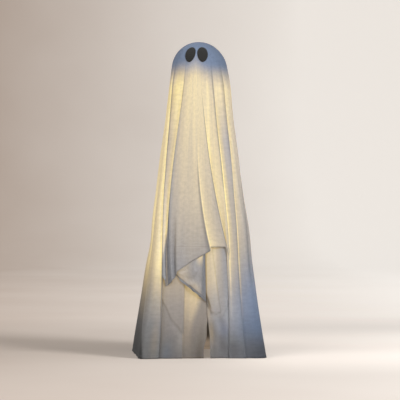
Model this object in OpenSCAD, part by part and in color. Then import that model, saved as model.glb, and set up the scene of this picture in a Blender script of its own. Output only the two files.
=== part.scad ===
// Free-standing light-up cloth ghost. A knock-down frame of four leaning legs carries a plastic head
// with a battery lamp under it, and a lined cloth cover with two felt eyes slips over the top.
// Millimetres, +Z up, front towards -Y, origin on the floor under the middle of the head.

/* [Overall] */
// Height from the floor to the top of the cloth
total_h = 914; // [820:1:1050]
// Width of the square hem
base_w = 372; // [340:1:430]
// How far the hem's corner is drawn in from a sharp square corner
corner_draw = 8; // [6:0.5:12]
// Radius of the cloth over the head
head_r = 79; // [77:0.5:88]

/* [Cloth] */
// Thickness of each cloth layer
cloth_t = 1.2; // [0.8:0.1:2]
// Recess of the deepest pleat
pleat_depth = 11; // [6:0.5:13]
// Height over which a pleat grows from nothing to its full recess
pleat_fade = 190; // [120:5:260]
// Distance from the shoulder down to where the pleats start
pleat_drop = 25; // [15:1:35]
// Radial gap between the outer drape's pleats and the lining
layer_gap = 1.5; // [1:0.1:3]
// Gap where the lining's top edge meets the drape, and between the lining and its tape
seam_gap = 0.3; // [0.2:0.1:0.5]
// Slack between the round of the cloth and the plastic head
seat_gap = 1.7; // [1.7:0.1:2.5]
// Height of the hem above the floor
hem_clear = 1; // [0.5:0.5:4]
// Distance from the shoulder down to where the pleats start to wander
neck_drop = 55; // [30:5:80]
// Distance from the shoulder down to the lining's top edge
lining_drop = 55; // [50:1:70]
// Recess of the lining's own soft folds
lining_relief = 6; // [2:0.5:7]
// Height of the slit in the front of the lining
slit_top = 185; // [120:5:230]
// Width of the tape that binds the lining's top edge
tape_w = 9; // [6:0.5:12]
// Thickness of that tape
tape_t = 0.7; // [0.5:0.1:1]

/* [Eyes] */
// Width of a felt eye
eye_w = 31; // [24:0.5:33]
// Height of a felt eye
eye_h = 52; // [40:0.5:54]
// Thickness of the felt
eye_t = 1.2; // [0.8:0.1:2]
// Gap between the felt and the round of the head
eye_gap = 0.3; // [0.2:0.1:0.6]
// How far each eye's centre is raised above the head's centre, in degrees
eye_lift = 29; // [22:0.5:34]
// Turn of the left eye from the front, in degrees
left_eye_turn = -25.5; // [-32:0.5:-25]
// Turn of the right eye from the front, in degrees
right_eye_turn = 5; // [4.5:0.5:14]
// Lean of the left eye about its own centre, in degrees
left_eye_lean = 1; // [-5:0.5:8]
// Lean of the right eye about its own centre, in degrees
right_eye_lean = -4.5; // [-8:0.5:5]

/* [Head form] */
// Wall of the head dome
form_wall = 2.5; // [2:0.1:3]
// How far the dome's rim hangs below the head's centre
rim_drop = 9; // [7:0.5:12]
// Radius of a screw post inside the dome
post_r = 4; // [3.5:0.1:4.5]
// Distance of the posts from the hub's edge
post_inset = 12; // [10:0.5:13]
// Shank diameter of the screws that hold the dome to the hub
screw_d = 3; // [2.5:0.1:3.2]
// Length of a screw's shank
screw_l = 16; // [12:0.5:20]
// Diameter of a screw's head
screw_head_d = 5.6; // [5:0.1:6]
// Height of a screw's head
screw_head_h = 2; // [1.6:0.1:2.4]

/* [Crown hub] */
// Thickness of the hub plate
hub_t = 6; // [5:0.5:8]
// How far the plate's underside lies below the head's centre
hub_drop = 3; // [2:0.5:5]
// Gap between the plate's edge and the dome
hub_fit = 0.4; // [0.2:0.1:0.8]
// Wall round a leg's socket
socket_wall = 2.6; // [2.2:0.1:2.8]
// Depth of a socket below the plate
socket_l = 40; // [30:1:50]
// Closed end of a socket above its bore
socket_end = 5; // [4:0.5:7]
// Distance of the sockets from the plate's edge
socket_inset = 10; // [8:0.5:11]

/* [Legs] */
// Outside diameter of a leg tube
leg_d = 8; // [7:0.1:8.6]
// Wall of a leg tube
leg_wall = 1; // [0.7:0.1:1.4]
// Radial gap of every push fit
push_fit = 0.05; // [0.03:0.01:0.1]
// Gap between a foot and the lining's corner
foot_gap = 4; // [3:0.5:8]
// Wall of a foot cap round its leg
cap_wall = 3; // [2:0.1:4]
// Rubber under the end of a leg
cap_floor = 5; // [4:0.5:7]
// Height of a foot cap along its leg
cap_h = 24; // [18:1:32]

/* [Spreader] */
// Height of the spreader rails above the floor
spreader_z = 323; // [260:1:400]
// Diameter of a spreader rail
rail_d = 6; // [5:0.1:6.6]
// Wall of a corner coupler
coupler_wall = 2.4; // [2.2:0.1:2.6]
// Length of a coupler along its leg
coupler_l = 56; // [48:1:70]
// Wall between the two leg bores in a coupler
coupler_web = 4; // [3:0.5:6]
// Wall between a coupler's leg bore and a rail's bore
rail_web = 5; // [3:0.5:6]
// Depth of a rail's bore
rail_grip = 18; // [14:1:24]

/* [Lamp] */
// Gap between the lamp's flange and the front screw post
lamp_gap = 3; // [2:0.5:4]
// Radius of the reflector's mouth
mouth_r = 26.5; // [24:0.5:27]
// Radius of the reflector's throat
throat_r = 12; // [10:0.5:13]
// Wall of the reflector and the lens
lamp_wall = 1.5; // [1.2:0.1:2]
// Width of the flange round the lamp
lamp_flange = 4; // [3:0.5:4]
// How far the lens bulges below the hub
lens_drop = 13; // [8:0.5:18]
// Thickness of the circuit board
board_t = 1.6; // [1:0.1:2]
// Side of a light-emitting chip
chip_w = 3; // [2:0.1:3.4]
// Height of a chip
chip_h = 0.9; // [0.6:0.1:1.2]
// Height of the cap over the board
lamp_cap_h = 9; // [7:0.5:12]

/* [Battery box] */
// Distance of the battery door's hinge ears from the hub's edge
ear_edge = 2; // [1.5:0.5:4]
// Diameter of a cell
cell_d = 10.5; // [10:0.1:10.8]
// Length of a cell
cell_l = 44.5; // [40:0.5:45]
// Spacing of the cells
cell_pitch = 11; // [10.9:0.05:11.2]
// Room past the end of a cell for its spring
spring_l = 4.5; // [3:0.5:5]
// Thickness of a contact plate
contact_t = 0.5; // [0.4:0.1:0.8]
// Wall of the battery tray
tray_wall = 1.6; // [1.2:0.1:1.8]
// Share of a cell's diameter that the hub plate's thickness takes up
cell_sink = 3; // [2:0.5:3.5]
// Thickness of the battery door
door_t = 2; // [1.6:0.1:2.5]
// How far the door laps the battery opening
door_lap = 2.5; // [2:0.1:3]
// Gap all round the door and between the cells and its pad
door_gap = 0.3; // [0.2:0.1:0.5]
// Diameter of the door's hinge pin
hinge_pin_d = 2; // [1.8:0.1:2.4]
// Wall of the door's hinge knuckle
knuckle_wall = 1.5; // [1.3:0.1:1.8]
// Length of the door's hinge knuckle
knuckle_l = 30; // [24:1:34]
// Width of each hinge ear
ear_w = 6; // [4:0.5:8]

/* [Switch] */
// Distance of the switch from the hub's edge
switch_inset = 23; // [20:0.5:25]
// Travel of the slider
switch_travel = 6; // [4:0.5:7]
// Width of the slider's stem
stem_w = 4; // [3:0.1:4.5]
// Length of the slider's stem
stem_l = 5; // [4:0.5:6]
// Gap at each side of the stem
stem_gap = 0.2; // [0.1:0.05:0.3]
// Height of the slider's thumb block below the hub
thumb_h = 4; // [3:0.5:5]
// Height of the switch body above the hub
switch_h = 8; // [6:0.5:10]
// Diameter of the insulated leads
lead_d = 1.6; // [1.2:0.1:2]

/* [Hidden] */
$fn = 64;

// The round head runs into the straight sides where they touch it: the slope settles in a few passes
hem_half = base_w / 2;
hem_corner = hem_half - corner_draw;
head_z = total_h - head_r;
function flare_angle(pass = 8, angle = 7) =
    pass == 0 ? angle
    : flare_angle(pass - 1, atan((hem_half - head_r * cos(angle)) / (head_z + head_r * sin(angle))));
flare = flare_angle();
shoulder_z = head_z + head_r * sin(flare);
shoulder_r = head_r * cos(flare);
neck_z = shoulder_z - neck_drop;
pleat_top = shoulder_z - pleat_drop;

// The section is a circle at the shoulder and a rounded square at the hem.
// Faces and corners both run straight between the two, and the curve's power follows from them.
function along_side(top, foot, z) = foot + (top - foot) * z / shoulder_z;
function face_at(z) = along_side(shoulder_r, hem_half, z);
function corner_at(z) = along_side(shoulder_r / sqrt(2), hem_corner, z);
function section_power(z) = ln(2) / ln(face_at(z) / corner_at(z));
function envelope(turn, z) =
    let (n = section_power(z), s = abs(sin(turn)), c = abs(cos(turn)), m = max(s, c))
    face_at(z) / m / pow(pow(s / m, n) + pow(c / m, n), 1 / n);
function ease(t) = let (u = max(0, min(1, t))) u * u * (3 - 2 * u);
function round_point(radius, turn, z) = [radius * sin(turn), -radius * cos(turn), z];

// A pleat line runs down the cloth: its turn from the front at the neck, half way and at its own hem,
// its recess as a share of pleat_depth, the height of its hem and the height below which it starts.
// The front of the drape is caught up: between the two long edges its hem hangs at mid height.
low_start = shoulder_z - 205;
front_pleats = [
    [-74, -46, -45, 0, 0, pleat_top],
    [-69, -44, -41, 0.15, 0, pleat_top],
    [-61, -42.4, -35, 0.9, 0, pleat_top],
    [-60, -44.6, -36.9, 0.35, 240, pleat_top],
    [-46, -41.4, -36.6, 0.6, 238, pleat_top],
    [-32, -38.2, -36.4, 0.95, 236, pleat_top],
    [-30.5, -37.2, -35.6, 0.25, 232, pleat_top],
    [-27, -33.8, -32.4, 0.05, 200, low_start],
    [-24, -30.4, -28.2, 0.6, 226, low_start],
    [-20, -25.5, -25, 0.15, 248, pleat_top],
    [-10, -13, -12, 0, 276, pleat_top],
    [-4, -2.6, 8.5, 0.1, 305, low_start],
    [-3, -1.4, 9.6, 0.65, 315, low_start],
    [1, 7, 18, 0.4, 315, pleat_top],
    [4, 12.8, 26.2, 0.25, 294, pleat_top],
    [5.4, 14, 27.2, 0.95, 298, pleat_top],
    [15, 21.4, 27.7, 0.6, 302, pleat_top],
    [24.2, 29, 24.6, 0.3, 0, pleat_top],
    [25.6, 30.2, 25.8, 0.95, 0, pleat_top],
    [35, 34, 29.5, 0.55, 0, pleat_top],
    [45.5, 37.6, 33.4, 0.25, 0, pleat_top],
    [46.9, 38.8, 34.6, 0.95, 0, pleat_top],
    [53, 43.5, 41, 0.2, 0, pleat_top],
    [58, 45.5, 45, 0, 0, pleat_top]
];
left_corner = front_pleats[0];
right_corner = front_pleats[len(front_pleats) - 1];

// Even pleats cover the sides and back: an edge, a deep fold beside it, and a slope up to the next edge
side_steps = 18;
side_shares = [0.08, 0.95, 0.5];
function side_pleat(step, corner) =
    let (t = step / side_steps, way = sign(corner[2]), left = way < 0)
    [for (angle = [corner[0], corner[1], corner[2]]) angle + (way * 180 - angle) * t + (left ? 360 : 0)];
function side_line(step, corner) =
    concat(side_pleat(step, corner), [side_shares[step % len(side_shares)], 0, pleat_top]);
right_side = [for (k = [1 : side_steps]) side_line(k, right_corner)];
left_side = [for (k = [side_steps - 1 : -1 : 1]) side_line(k, left_corner)];
drape_pleats = concat(front_pleats, right_side, left_side);

// The lining is one strip that starts and ends at its front slit.
// The last number of an edge line is how far the slit opens at the hem, in degrees.
slit_turn = 4;
slit_half = 0.3;
lining_right = [
    [slit_turn + slit_half, slit_turn + slit_half, slit_turn + slit_half, 0.1, 0, pleat_top, 4.2],
    [16, 15, 16.5, 0.8, 0, pleat_top],
    [25, 22, 22, 0.1, 0, pleat_top],
    [38, 31, 30, 0.7, 0, pleat_top],
    [53, 43.5, 41, 0.2, 0, pleat_top],
    right_corner
];
lining_left = [
    left_corner,
    [-69, -44, -41, 0.2, 0, pleat_top],
    [-52, -37, -36, 0.45, 0, pleat_top],
    [-38, -27, -27, 0.3, 0, pleat_top],
    [-24, -19, -18, 0.1, 0, pleat_top],
    [-22, -17.4, -16.6, 0.9, 0, pleat_top],
    [-10, -9, -8, 0.4, 0, pleat_top],
    [slit_turn - slit_half, slit_turn - slit_half, slit_turn - slit_half, 0.1, 0, pleat_top, -3]
];
full_turn = [360, 360, 360, 0, 0, 0, 0];
function unwound(p) = [for (i = [0 : len(p) - 1]) p[i] + full_turn[i]];
lining_pleats = concat(lining_right, right_side, left_side, [for (p = lining_left) unwound(p)]);

function pleat_turn(p, z) =
    let (v = max(0, min(1, (neck_z - z) / (neck_z - p[4]))),
         opening = len(p) > 6 ? p[6] * max(0, 1 - z / slit_top) : 0)
    p[0] * (1 - v) * (1 - 2 * v) + p[1] * 4 * v * (1 - v) + p[2] * v * (2 * v - 1) + opening;
function pleat_growth(start, z) = ease((start - z) / pleat_fade);
function drape_radius(p, z, inset) =
    envelope(pleat_turn(p, z), z) - pleat_depth * p[3] * pleat_growth(p[5], z) - inset;
function lining_inset(z) = cloth_t + seam_gap + (layer_gap + pleat_depth) * pleat_growth(pleat_top, z);
// On the side faces the lining keeps the drape's folds, and in front it has softer ones of its own
function lining_radius(p, z, inset) =
    envelope(pleat_turn(p, z), z) - lining_inset(z) - lining_relief * p[3] * pleat_growth(p[5], z) - inset;

// Rings of the drape: the first ones lie on the round head, two follow the growing pleats,
// and the others run down to each line's hem
dome_rings = [16, 33, 50, 67, 90 - flare];
full_z = pleat_top - 0.84 * pleat_fade;
growth_levels = [neck_z, full_z];
drape_bands = 3;
drape_rows = len(dome_rings) + len(growth_levels) + drape_bands;
function drape_level(row, hem) =
    row < len(growth_levels) ? growth_levels[row]
    : full_z + (hem - full_z) * (row + 1 - len(growth_levels)) / drape_bands;
function drape_point(row, p, inset) =
    row < len(dome_rings)
    ? let (r = head_r - inset) round_point(r * sin(dome_rings[row]), p[0], head_z + r * cos(dome_rings[row]))
    : let (z = drape_level(row - len(dome_rings), max(p[4], hem_clear)))
      round_point(drape_radius(p, z, inset), pleat_turn(p, z), z);

lining_top = shoulder_z - lining_drop;
lining_levels = [lining_top, full_z, (full_z + slit_top) / 2, slit_top, slit_top / 2, slit_top / 5, hem_clear];
lining_bands = len(lining_levels) - 1;
function lining_point(row, p, inset) =
    let (z = lining_levels[row])
    round_point(lining_radius(p, z, inset), pleat_turn(p, z), z);

// Two triangles over four corners, given clockwise as seen from outside
function quad(a, b, c, d) = [[a, b, c], [a, c, d]];

module outer_drape() {
    n = len(drape_pleats);
    skin = 1 + drape_rows * n;
    points = [for (inset = [0, cloth_t])
        each concat([[0, 0, total_h - inset]],
            [for (row = [0 : drape_rows - 1]) for (p = drape_pleats) drape_point(row, p, inset)])];
    function at(row, j, layer) = layer * skin + 1 + row * n + j % n;
    faces = concat(
        [for (j = [0 : n - 1]) [0, at(0, j + 1, 0), at(0, j, 0)]],
        [for (j = [0 : n - 1]) [skin, at(0, j, 1), at(0, j + 1, 1)]],
        [for (i = [0 : drape_rows - 2]) for (j = [0 : n - 1])
            each quad(at(i, j, 0), at(i, j + 1, 0), at(i + 1, j + 1, 0), at(i + 1, j, 0))],
        [for (i = [0 : drape_rows - 2]) for (j = [0 : n - 1])
            each quad(at(i, j, 1), at(i + 1, j, 1), at(i + 1, j + 1, 1), at(i, j + 1, 1))],
        [for (j = [0 : n - 1])
            each quad(at(drape_rows - 1, j, 0), at(drape_rows - 1, j + 1, 0),
                      at(drape_rows - 1, j + 1, 1), at(drape_rows - 1, j, 1))]);
    color("lightsteelblue") polyhedron(points, faces, convexity = 10);
}

module lining_skirt() {
    n = len(lining_pleats);
    rows = lining_bands + 1;
    points = [for (inset = [0, cloth_t]) for (row = [0 : lining_bands]) for (p = lining_pleats)
        lining_point(row, p, inset)];
    function at(row, j, layer) = (layer * rows + row) * n + j;
    last = lining_bands;
    faces = concat(
        [for (i = [0 : last - 1]) for (j = [0 : n - 2])
            each quad(at(i, j, 0), at(i, j + 1, 0), at(i + 1, j + 1, 0), at(i + 1, j, 0))],
        [for (i = [0 : last - 1]) for (j = [0 : n - 2])
            each quad(at(i, j, 1), at(i + 1, j, 1), at(i + 1, j + 1, 1), at(i, j + 1, 1))],
        [for (j = [0 : n - 2]) each quad(at(0, j + 1, 0), at(0, j, 0), at(0, j, 1), at(0, j + 1, 1))],
        [for (j = [0 : n - 2])
            each quad(at(last, j, 0), at(last, j + 1, 0), at(last, j + 1, 1), at(last, j, 1))],
        [for (i = [0 : last - 1]) each quad(at(i, 0, 0), at(i + 1, 0, 0), at(i + 1, 0, 1), at(i, 0, 1))],
        [for (i = [0 : last - 1])
            each quad(at(i + 1, n - 1, 0), at(i, n - 1, 0), at(i, n - 1, 1), at(i + 1, n - 1, 1))]);
    color("lemonchiffon") polyhedron(points, faces, convexity = 10);
}

// A tape round the inside of the lining's top edge, clear of the head when the cover is lifted
module neck_tape() {
    lining_face = face_at(lining_top) - lining_inset(lining_top) - cloth_t;
    folds = lining_relief * pleat_growth(pleat_top, lining_top);
    outside = (lining_face - folds) * cos(180 / len(lining_pleats)) - seam_gap;
    color("white") translate([0, 0, lining_top - tape_w]) difference() {
        cylinder(r = outside, h = tape_w);
        translate([0, 0, -1]) cylinder(r = outside - tape_t, h = tape_w + 2);
    }
}

// An oval of felt cut from a round shell, so that it lies on the head
module felt_eye(turn, lean) {
    outline = [for (a = [0 : 7.5 : 352.5]) [eye_w / 2 * cos(a), eye_h / 2 * sin(a)]];
    color([0.16, 0.16, 0.15]) translate([0, 0, head_z]) intersection() {
        difference() {
            sphere(r = head_r + eye_gap + eye_t);
            sphere(r = head_r + eye_gap);
        }
        rotate([90 - eye_lift, 0, turn]) rotate([0, 0, lean]) linear_extrude(height = head_r * 1.2) polygon(outline);
    }
}
module left_eye() { felt_eye(left_eye_turn, left_eye_lean); }
module right_eye() { felt_eye(right_eye_turn, right_eye_lean); }

// Head dome, hub and screws
form_r = head_r - cloth_t - seat_gap;
hub_r = form_r - form_wall - hub_fit;
hub_z = head_z - hub_drop;
hub_top = hub_z + hub_t;
post_ring = hub_r - post_inset;
post_turns = [-90, 15, 165];
screw_hole = screw_d / 2 + push_fit;

module at_posts(z) {
    for (turn = post_turns) rotate([0, 0, turn]) translate([post_ring, 0, z]) children();
}

module dome_solid(radius, drop) {
    translate([0, 0, head_z]) intersection() {
        sphere(r = radius);
        translate([-radius, -radius, 0]) cube([2 * radius, 2 * radius, radius]);
    }
    translate([0, 0, head_z - drop]) cylinder(r = radius, h = drop);
}

module head_form() {
    inner_r = form_r - form_wall;
    color("aliceblue") difference() {
        union() {
            difference() {
                dome_solid(form_r, rim_drop);
                dome_solid(inner_r, rim_drop + 1);
            }
            intersection() {
                translate([0, 0, head_z]) sphere(r = form_r - form_wall / 2);
                at_posts(hub_top) cylinder(r = post_r, h = form_r);
            }
        }
        at_posts(hub_top - 1) cylinder(r = screw_hole, h = screw_l - hub_t + 2);
    }
}

module head_screws() {
    color("silver") at_posts(hub_z) {
        cylinder(d = screw_d, h = screw_l);
        translate([0, 0, -screw_head_h]) cylinder(d = screw_head_d, h = screw_head_h);
    }
}

// Legs lean inwards from the feet to the hub's sockets. Corners are counted from the rear right, leftwards
socket_r = leg_d / 2 + push_fit + socket_wall;
cap_r = leg_d / 2 + push_fit + cap_wall;
crown_reach = hub_r - socket_inset - socket_r;
lining_reach = hem_corner * sqrt(2) - lining_inset(0) - cloth_t;
foot_reach = lining_reach - (cap_r + foot_gap) * sqrt(2);
lean = atan((foot_reach - crown_reach) / hub_z);
leg_bore = leg_d / 2 + push_fit;
function up_leg(z) = z / cos(lean);
function leg_reach(z) = foot_reach - z * tan(lean);
socket_bore_end = up_leg(hub_top);

module leg_frame(corner) {
    rotate([0, 0, 45 + 90 * corner]) translate([foot_reach, 0, 0]) rotate([0, -lean, 0]) children();
}
module leg_tube(corner, from, to) {
    color("whitesmoke") leg_frame(corner) translate([0, 0, from]) difference() {
        cylinder(d = leg_d, h = to - from);
        translate([0, 0, -1]) cylinder(d = leg_d - 2 * leg_wall, h = to - from + 2);
    }
}
module lower_leg(corner) { leg_tube(corner, cap_floor, up_leg(spreader_z) - coupler_web / 2); }
module upper_leg(corner) { leg_tube(corner, up_leg(spreader_z) + coupler_web / 2, socket_bore_end); }

module foot_cap(corner) {
    slab = 2 * foot_reach;
    color("dimgray") difference() {
        intersection() {
            leg_frame(corner) translate([0, 0, -cap_h]) cylinder(r = cap_r, h = 2 * cap_h);
            translate([-slab, -slab, 0]) cube([2 * slab, 2 * slab, 2 * cap_h]);
        }
        leg_frame(corner) translate([0, 0, cap_floor]) cylinder(r = leg_bore, h = 2 * cap_h);
    }
}

// Corner couplers join the two halves of each leg and hold the ends of two spreader rails
spreader_reach = leg_reach(spreader_z) / sqrt(2);
rail_r = rail_d / 2;
rail_start = leg_bore + rail_web;
rail_socket_r = rail_r + push_fit + coupler_wall - 1;
corner_signs = [[1, 1], [-1, 1], [-1, -1], [1, -1]];

module along_rails(corner) {
    s = corner_signs[corner];
    translate([s[0] * spreader_reach, s[1] * spreader_reach, spreader_z]) {
        rotate([0, -90 * s[0], 0]) children();
        rotate([90 * s[1], 0, 0]) children();
    }
}
module coupler(corner) {
    color("gainsboro") difference() {
        union() {
            leg_frame(corner) translate([0, 0, up_leg(spreader_z) - coupler_l / 2])
                cylinder(r = leg_bore + coupler_wall, h = coupler_l);
            along_rails(corner) cylinder(r = rail_socket_r, h = rail_start + rail_grip);
        }
        for (way = [-1, 1]) leg_frame(corner)
            translate([0, 0, up_leg(spreader_z) + way * (coupler_web / 2 + coupler_l / 2)])
                cylinder(r = leg_bore, h = coupler_l, center = true);
        along_rails(corner) translate([0, 0, rail_start]) cylinder(r = rail_r + push_fit, h = rail_grip + 1);
    }
}
module spreader(face) {
    rail_half = spreader_reach - rail_start;
    color("whitesmoke") rotate([0, 0, 90 * face]) translate([spreader_reach, 0, spreader_z])
        rotate([90, 0, 0]) cylinder(r = rail_r, h = 2 * rail_half, center = true);
}

// Battery opening, door and hinge
cells = 3;
bay_w = cell_l + spring_l + 2 * contact_t + 1;
bay_l = cells * cell_pitch + 1;
tray_h = cell_d - cell_sink + tray_wall + 0.3;
cell_z = hub_top + tray_h - tray_wall - cell_d / 2 - 0.2;
door_w = bay_w + 2 * door_lap;
door_l = bay_l + 2 * door_lap;
knuckle_r = hinge_pin_d / 2 + push_fit + knuckle_wall;
hinge_z = hub_z - door_gap - knuckle_r;
pin_l = knuckle_l + 2 * (ear_w + door_gap);
hinge_y = sqrt(pow(hub_r - ear_edge, 2) - pow(pin_l / 2, 2)) - knuckle_r;
bay_y = hinge_y - door_gap - knuckle_r - door_l / 2;

module x_cylinder(radius, length) { rotate([0, 90, 0]) cylinder(r = radius, h = length, center = true); }
module slab_at(x, y, z, size) { translate([x - size[0] / 2, y - size[1] / 2, z]) cube(size); }

module hinge_ears() {
    for (side = [-1, 1]) translate([side * (knuckle_l / 2 + door_gap + ear_w / 2), hinge_y, 0]) {
        translate([0, 0, hinge_z]) x_cylinder(knuckle_r, ear_w);
        slab_at(0, 0, hinge_z, [ear_w, 2 * knuckle_r, hub_z - hinge_z + 0.5]);
    }
}

// Slide switch
switch_x = hub_r - switch_inset;
slot_w = stem_w + 2 * stem_gap;
slot_l = stem_l + switch_travel + 2 * stem_gap;
on_y = switch_travel / 2;

module crown_hub() {
    color("white") difference() {
        union() {
            translate([0, 0, hub_z]) cylinder(r = hub_r, h = hub_t);
            for (corner = [0 : 3]) leg_frame(corner) translate([0, 0, socket_bore_end - socket_l])
                cylinder(r = socket_r, h = socket_l + socket_end);
            hinge_ears();
        }
        for (corner = [0 : 3]) leg_frame(corner) translate([0, 0, socket_bore_end - 2 * socket_l])
            cylinder(r = leg_bore, h = 2 * socket_l);
        translate([0, -lamp_y, hub_z - 1]) cylinder(r = mouth_r + lamp_wall + hub_fit, h = hub_t + 2);
        slab_at(0, bay_y, hub_z - 1, [bay_w, bay_l, hub_t + 2]);
        slab_at(switch_x, 0, hub_z - 1, [slot_w, slot_l, hub_t + 2]);
        at_posts(hub_z - 1) cylinder(r = screw_hole, h = hub_t + 2);
        translate([0, hinge_y, hinge_z]) x_cylinder(hinge_pin_d / 2 + push_fit, pin_l);
    }
}

module battery_tray() {
    color("gainsboro") difference() {
        slab_at(0, bay_y, hub_top, [bay_w + 2 * tray_wall, bay_l + 2 * tray_wall, tray_h]);
        slab_at(0, bay_y, hub_top - 1, [bay_w, bay_l, tray_h - tray_wall + 1]);
    }
}
module at_cells(x) {
    for (i = [0 : cells - 1]) translate([x, bay_y + (i - (cells - 1) / 2) * cell_pitch, cell_z])
        rotate([0, 90, 0]) children();
}
cell_start = contact_t + 0.2 - bay_w / 2;
module battery_cells() {
    color("darkgoldenrod") at_cells(cell_start) cylinder(d = cell_d, h = cell_l);
}
module contact_plates() {
    color("silver") for (x = [-bay_w / 2, bay_w / 2 - contact_t]) at_cells(x) cylinder(d = cell_d - 2, h = contact_t);
}
module contact_springs() {
    start = cell_start + cell_l + 0.2;
    color("silver") at_cells(start) cylinder(r1 = cell_d / 5, r2 = cell_d / 3, h = bay_w / 2 - contact_t - start);
}
module battery_door() {
    pad_h = hub_top - hub_z + (cell_z - cell_d / 2 - hub_top);
    pad_gap = 3 * door_gap;
    color("white") difference() {
        union() {
            slab_at(0, bay_y, hub_z - door_gap - door_t, [door_w, door_l, door_t]);
            slab_at(0, bay_y, hub_z - door_gap - 0.5, [bay_w - 2 * pad_gap, bay_l - 2 * pad_gap, pad_h + 0.5]);
            translate([0, hinge_y, hinge_z]) x_cylinder(knuckle_r, knuckle_l);
            slab_at(0, bay_y + door_l / 2 + knuckle_r / 2, hinge_z, [knuckle_l, knuckle_r + 2, knuckle_r]);
        }
        translate([0, hinge_y, hinge_z]) x_cylinder(hinge_pin_d / 2 + push_fit, knuckle_l + 2);
    }
}
module door_pin() {
    color("silver") translate([0, hinge_y, hinge_z]) x_cylinder(hinge_pin_d / 2, pin_l);
}

module switch_body() {
    color("dimgray") slab_at(switch_x, 0, hub_top, [2 * stem_w, slot_l + 2 * stem_w, switch_h]);
}
module switch_slider() {
    color("black") {
        slab_at(switch_x, on_y, hub_z - thumb_h, [stem_w, stem_l, thumb_h + hub_t - 1]);
        slab_at(switch_x, on_y, hub_z - thumb_h, [stem_w + 3, stem_l + 3, thumb_h - door_gap]);
    }
}

// Lamp: a reflector hung in the hub, the light board on its flange, a cap over it and a lens below
flange_r = mouth_r + lamp_wall + lamp_flange - 1;
lamp_y = post_ring - post_r - lamp_gap - flange_r;
board_r = throat_r + 2;
board_z = hub_top + lamp_wall;

module lamp_reflector() {
    color("white") translate([0, -lamp_y, 0]) rotate_extrude() polygon([
        [throat_r, hub_top], [mouth_r, hub_z], [mouth_r + lamp_wall, hub_z],
        [throat_r + 2 * lamp_wall, hub_top], [flange_r, hub_top], [flange_r, board_z], [throat_r, board_z]]);
}
module led_board() {
    color("palegreen") translate([0, -lamp_y, board_z]) cylinder(r = board_r, h = board_t);
}
module led_chips() {
    ring = 0.6 * throat_r;
    color("yellow") translate([0, -lamp_y, board_z - chip_h]) {
        slab_at(0, 0, 0, [chip_w, chip_w, chip_h]);
        for (turn = [0 : 60 : 300]) rotate([0, 0, turn]) slab_at(ring, 0, 0, [chip_w, chip_w, chip_h]);
    }
}
module lamp_cap() {
    color("gainsboro") translate([0, -lamp_y, board_z]) difference() {
        cylinder(r = flange_r, h = lamp_cap_h);
        translate([0, 0, -1]) cylinder(r = flange_r - 2 * lamp_wall, h = lamp_cap_h - lamp_wall + 1);
    }
}
module lamp_lens() {
    rim = mouth_r;
    round_r = (rim * rim + lens_drop * lens_drop) / (2 * lens_drop);
    centre_z = hub_z - lamp_wall + round_r - lens_drop;
    color("lightyellow") translate([0, -lamp_y, 0]) union() {
        intersection() {
            translate([0, 0, centre_z]) difference() {
                sphere(r = round_r);
                sphere(r = round_r - lamp_wall);
            }
            translate([0, 0, hub_z - lamp_wall - lens_drop]) cylinder(r = rim + 1, h = lens_drop + lamp_wall);
        }
        translate([0, 0, hub_z - lamp_wall]) difference() {
            cylinder(r = flange_r, h = lamp_wall);
            translate([0, 0, -1]) cylinder(r = rim - 2 * lamp_wall, h = lamp_wall + 2);
        }
    }
}

// Leads lie on the hub between the battery box, the switch and the lamp's cap
lead_z = hub_top + 4;
tray_side = bay_w / 2 + tray_wall + lead_d / 2;
cap_side = flange_r + lead_d / 2;
switch_side = switch_x - stem_w - lead_d / 2;
lead_bend = 5;
cap_entry = [cap_side * cos(20), cap_side * sin(20) - lamp_y];
tray_exit = [tray_side, bay_y - bay_l / 3];
past_tray = tray_exit + [lead_bend, -lead_bend];
lead_routes = [
    [tray_exit, past_tray, [switch_side - lead_bend, 2 * lead_bend], [switch_side, lead_bend]],
    [[switch_side, -lead_bend], [switch_side - lead_bend, -1.5 * lead_bend], cap_entry],
    [mirrored(tray_exit), mirrored(past_tray), [-past_tray[0], 0], mirrored(cap_entry)]
];
function mirrored(p) = [-p[0], p[1]];
function heading(a, b) = atan2(b[1] - a[1], b[0] - a[0]);
// A lead is a ring of sides carried along its level route, mitred at the bends
module lead(route) {
    sides = 10;
    last = len(route) - 1;
    points = [for (i = [0 : last])
        let (before = heading(route[max(i - 1, 0)], route[max(i, 1)]),
             after = heading(route[min(i, last - 1)], route[min(i + 1, last)]),
             across = (before + after) / 2 + 90,
             mitre = lead_d / 2 / cos((after - before) / 2))
        for (k = [0 : sides - 1])
            let (out = mitre * cos(360 * k / sides))
            [route[i][0] + out * cos(across), route[i][1] + out * sin(across),
             lead_z + lead_d / 2 * sin(360 * k / sides)]];
    function at(i, k) = i * sides + k % sides;
    polyhedron(points, concat(
        [[for (k = [0 : sides - 1]) at(0, k)], [for (k = [sides - 1 : -1 : 0]) at(last, k)]],
        [for (i = [0 : last - 1]) for (k = [0 : sides - 1])
            each quad(at(i, k + 1), at(i, k), at(i + 1, k), at(i + 1, k + 1))]));
}
module lamp_leads() { color("firebrick") for (route = lead_routes) lead(route); }

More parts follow.
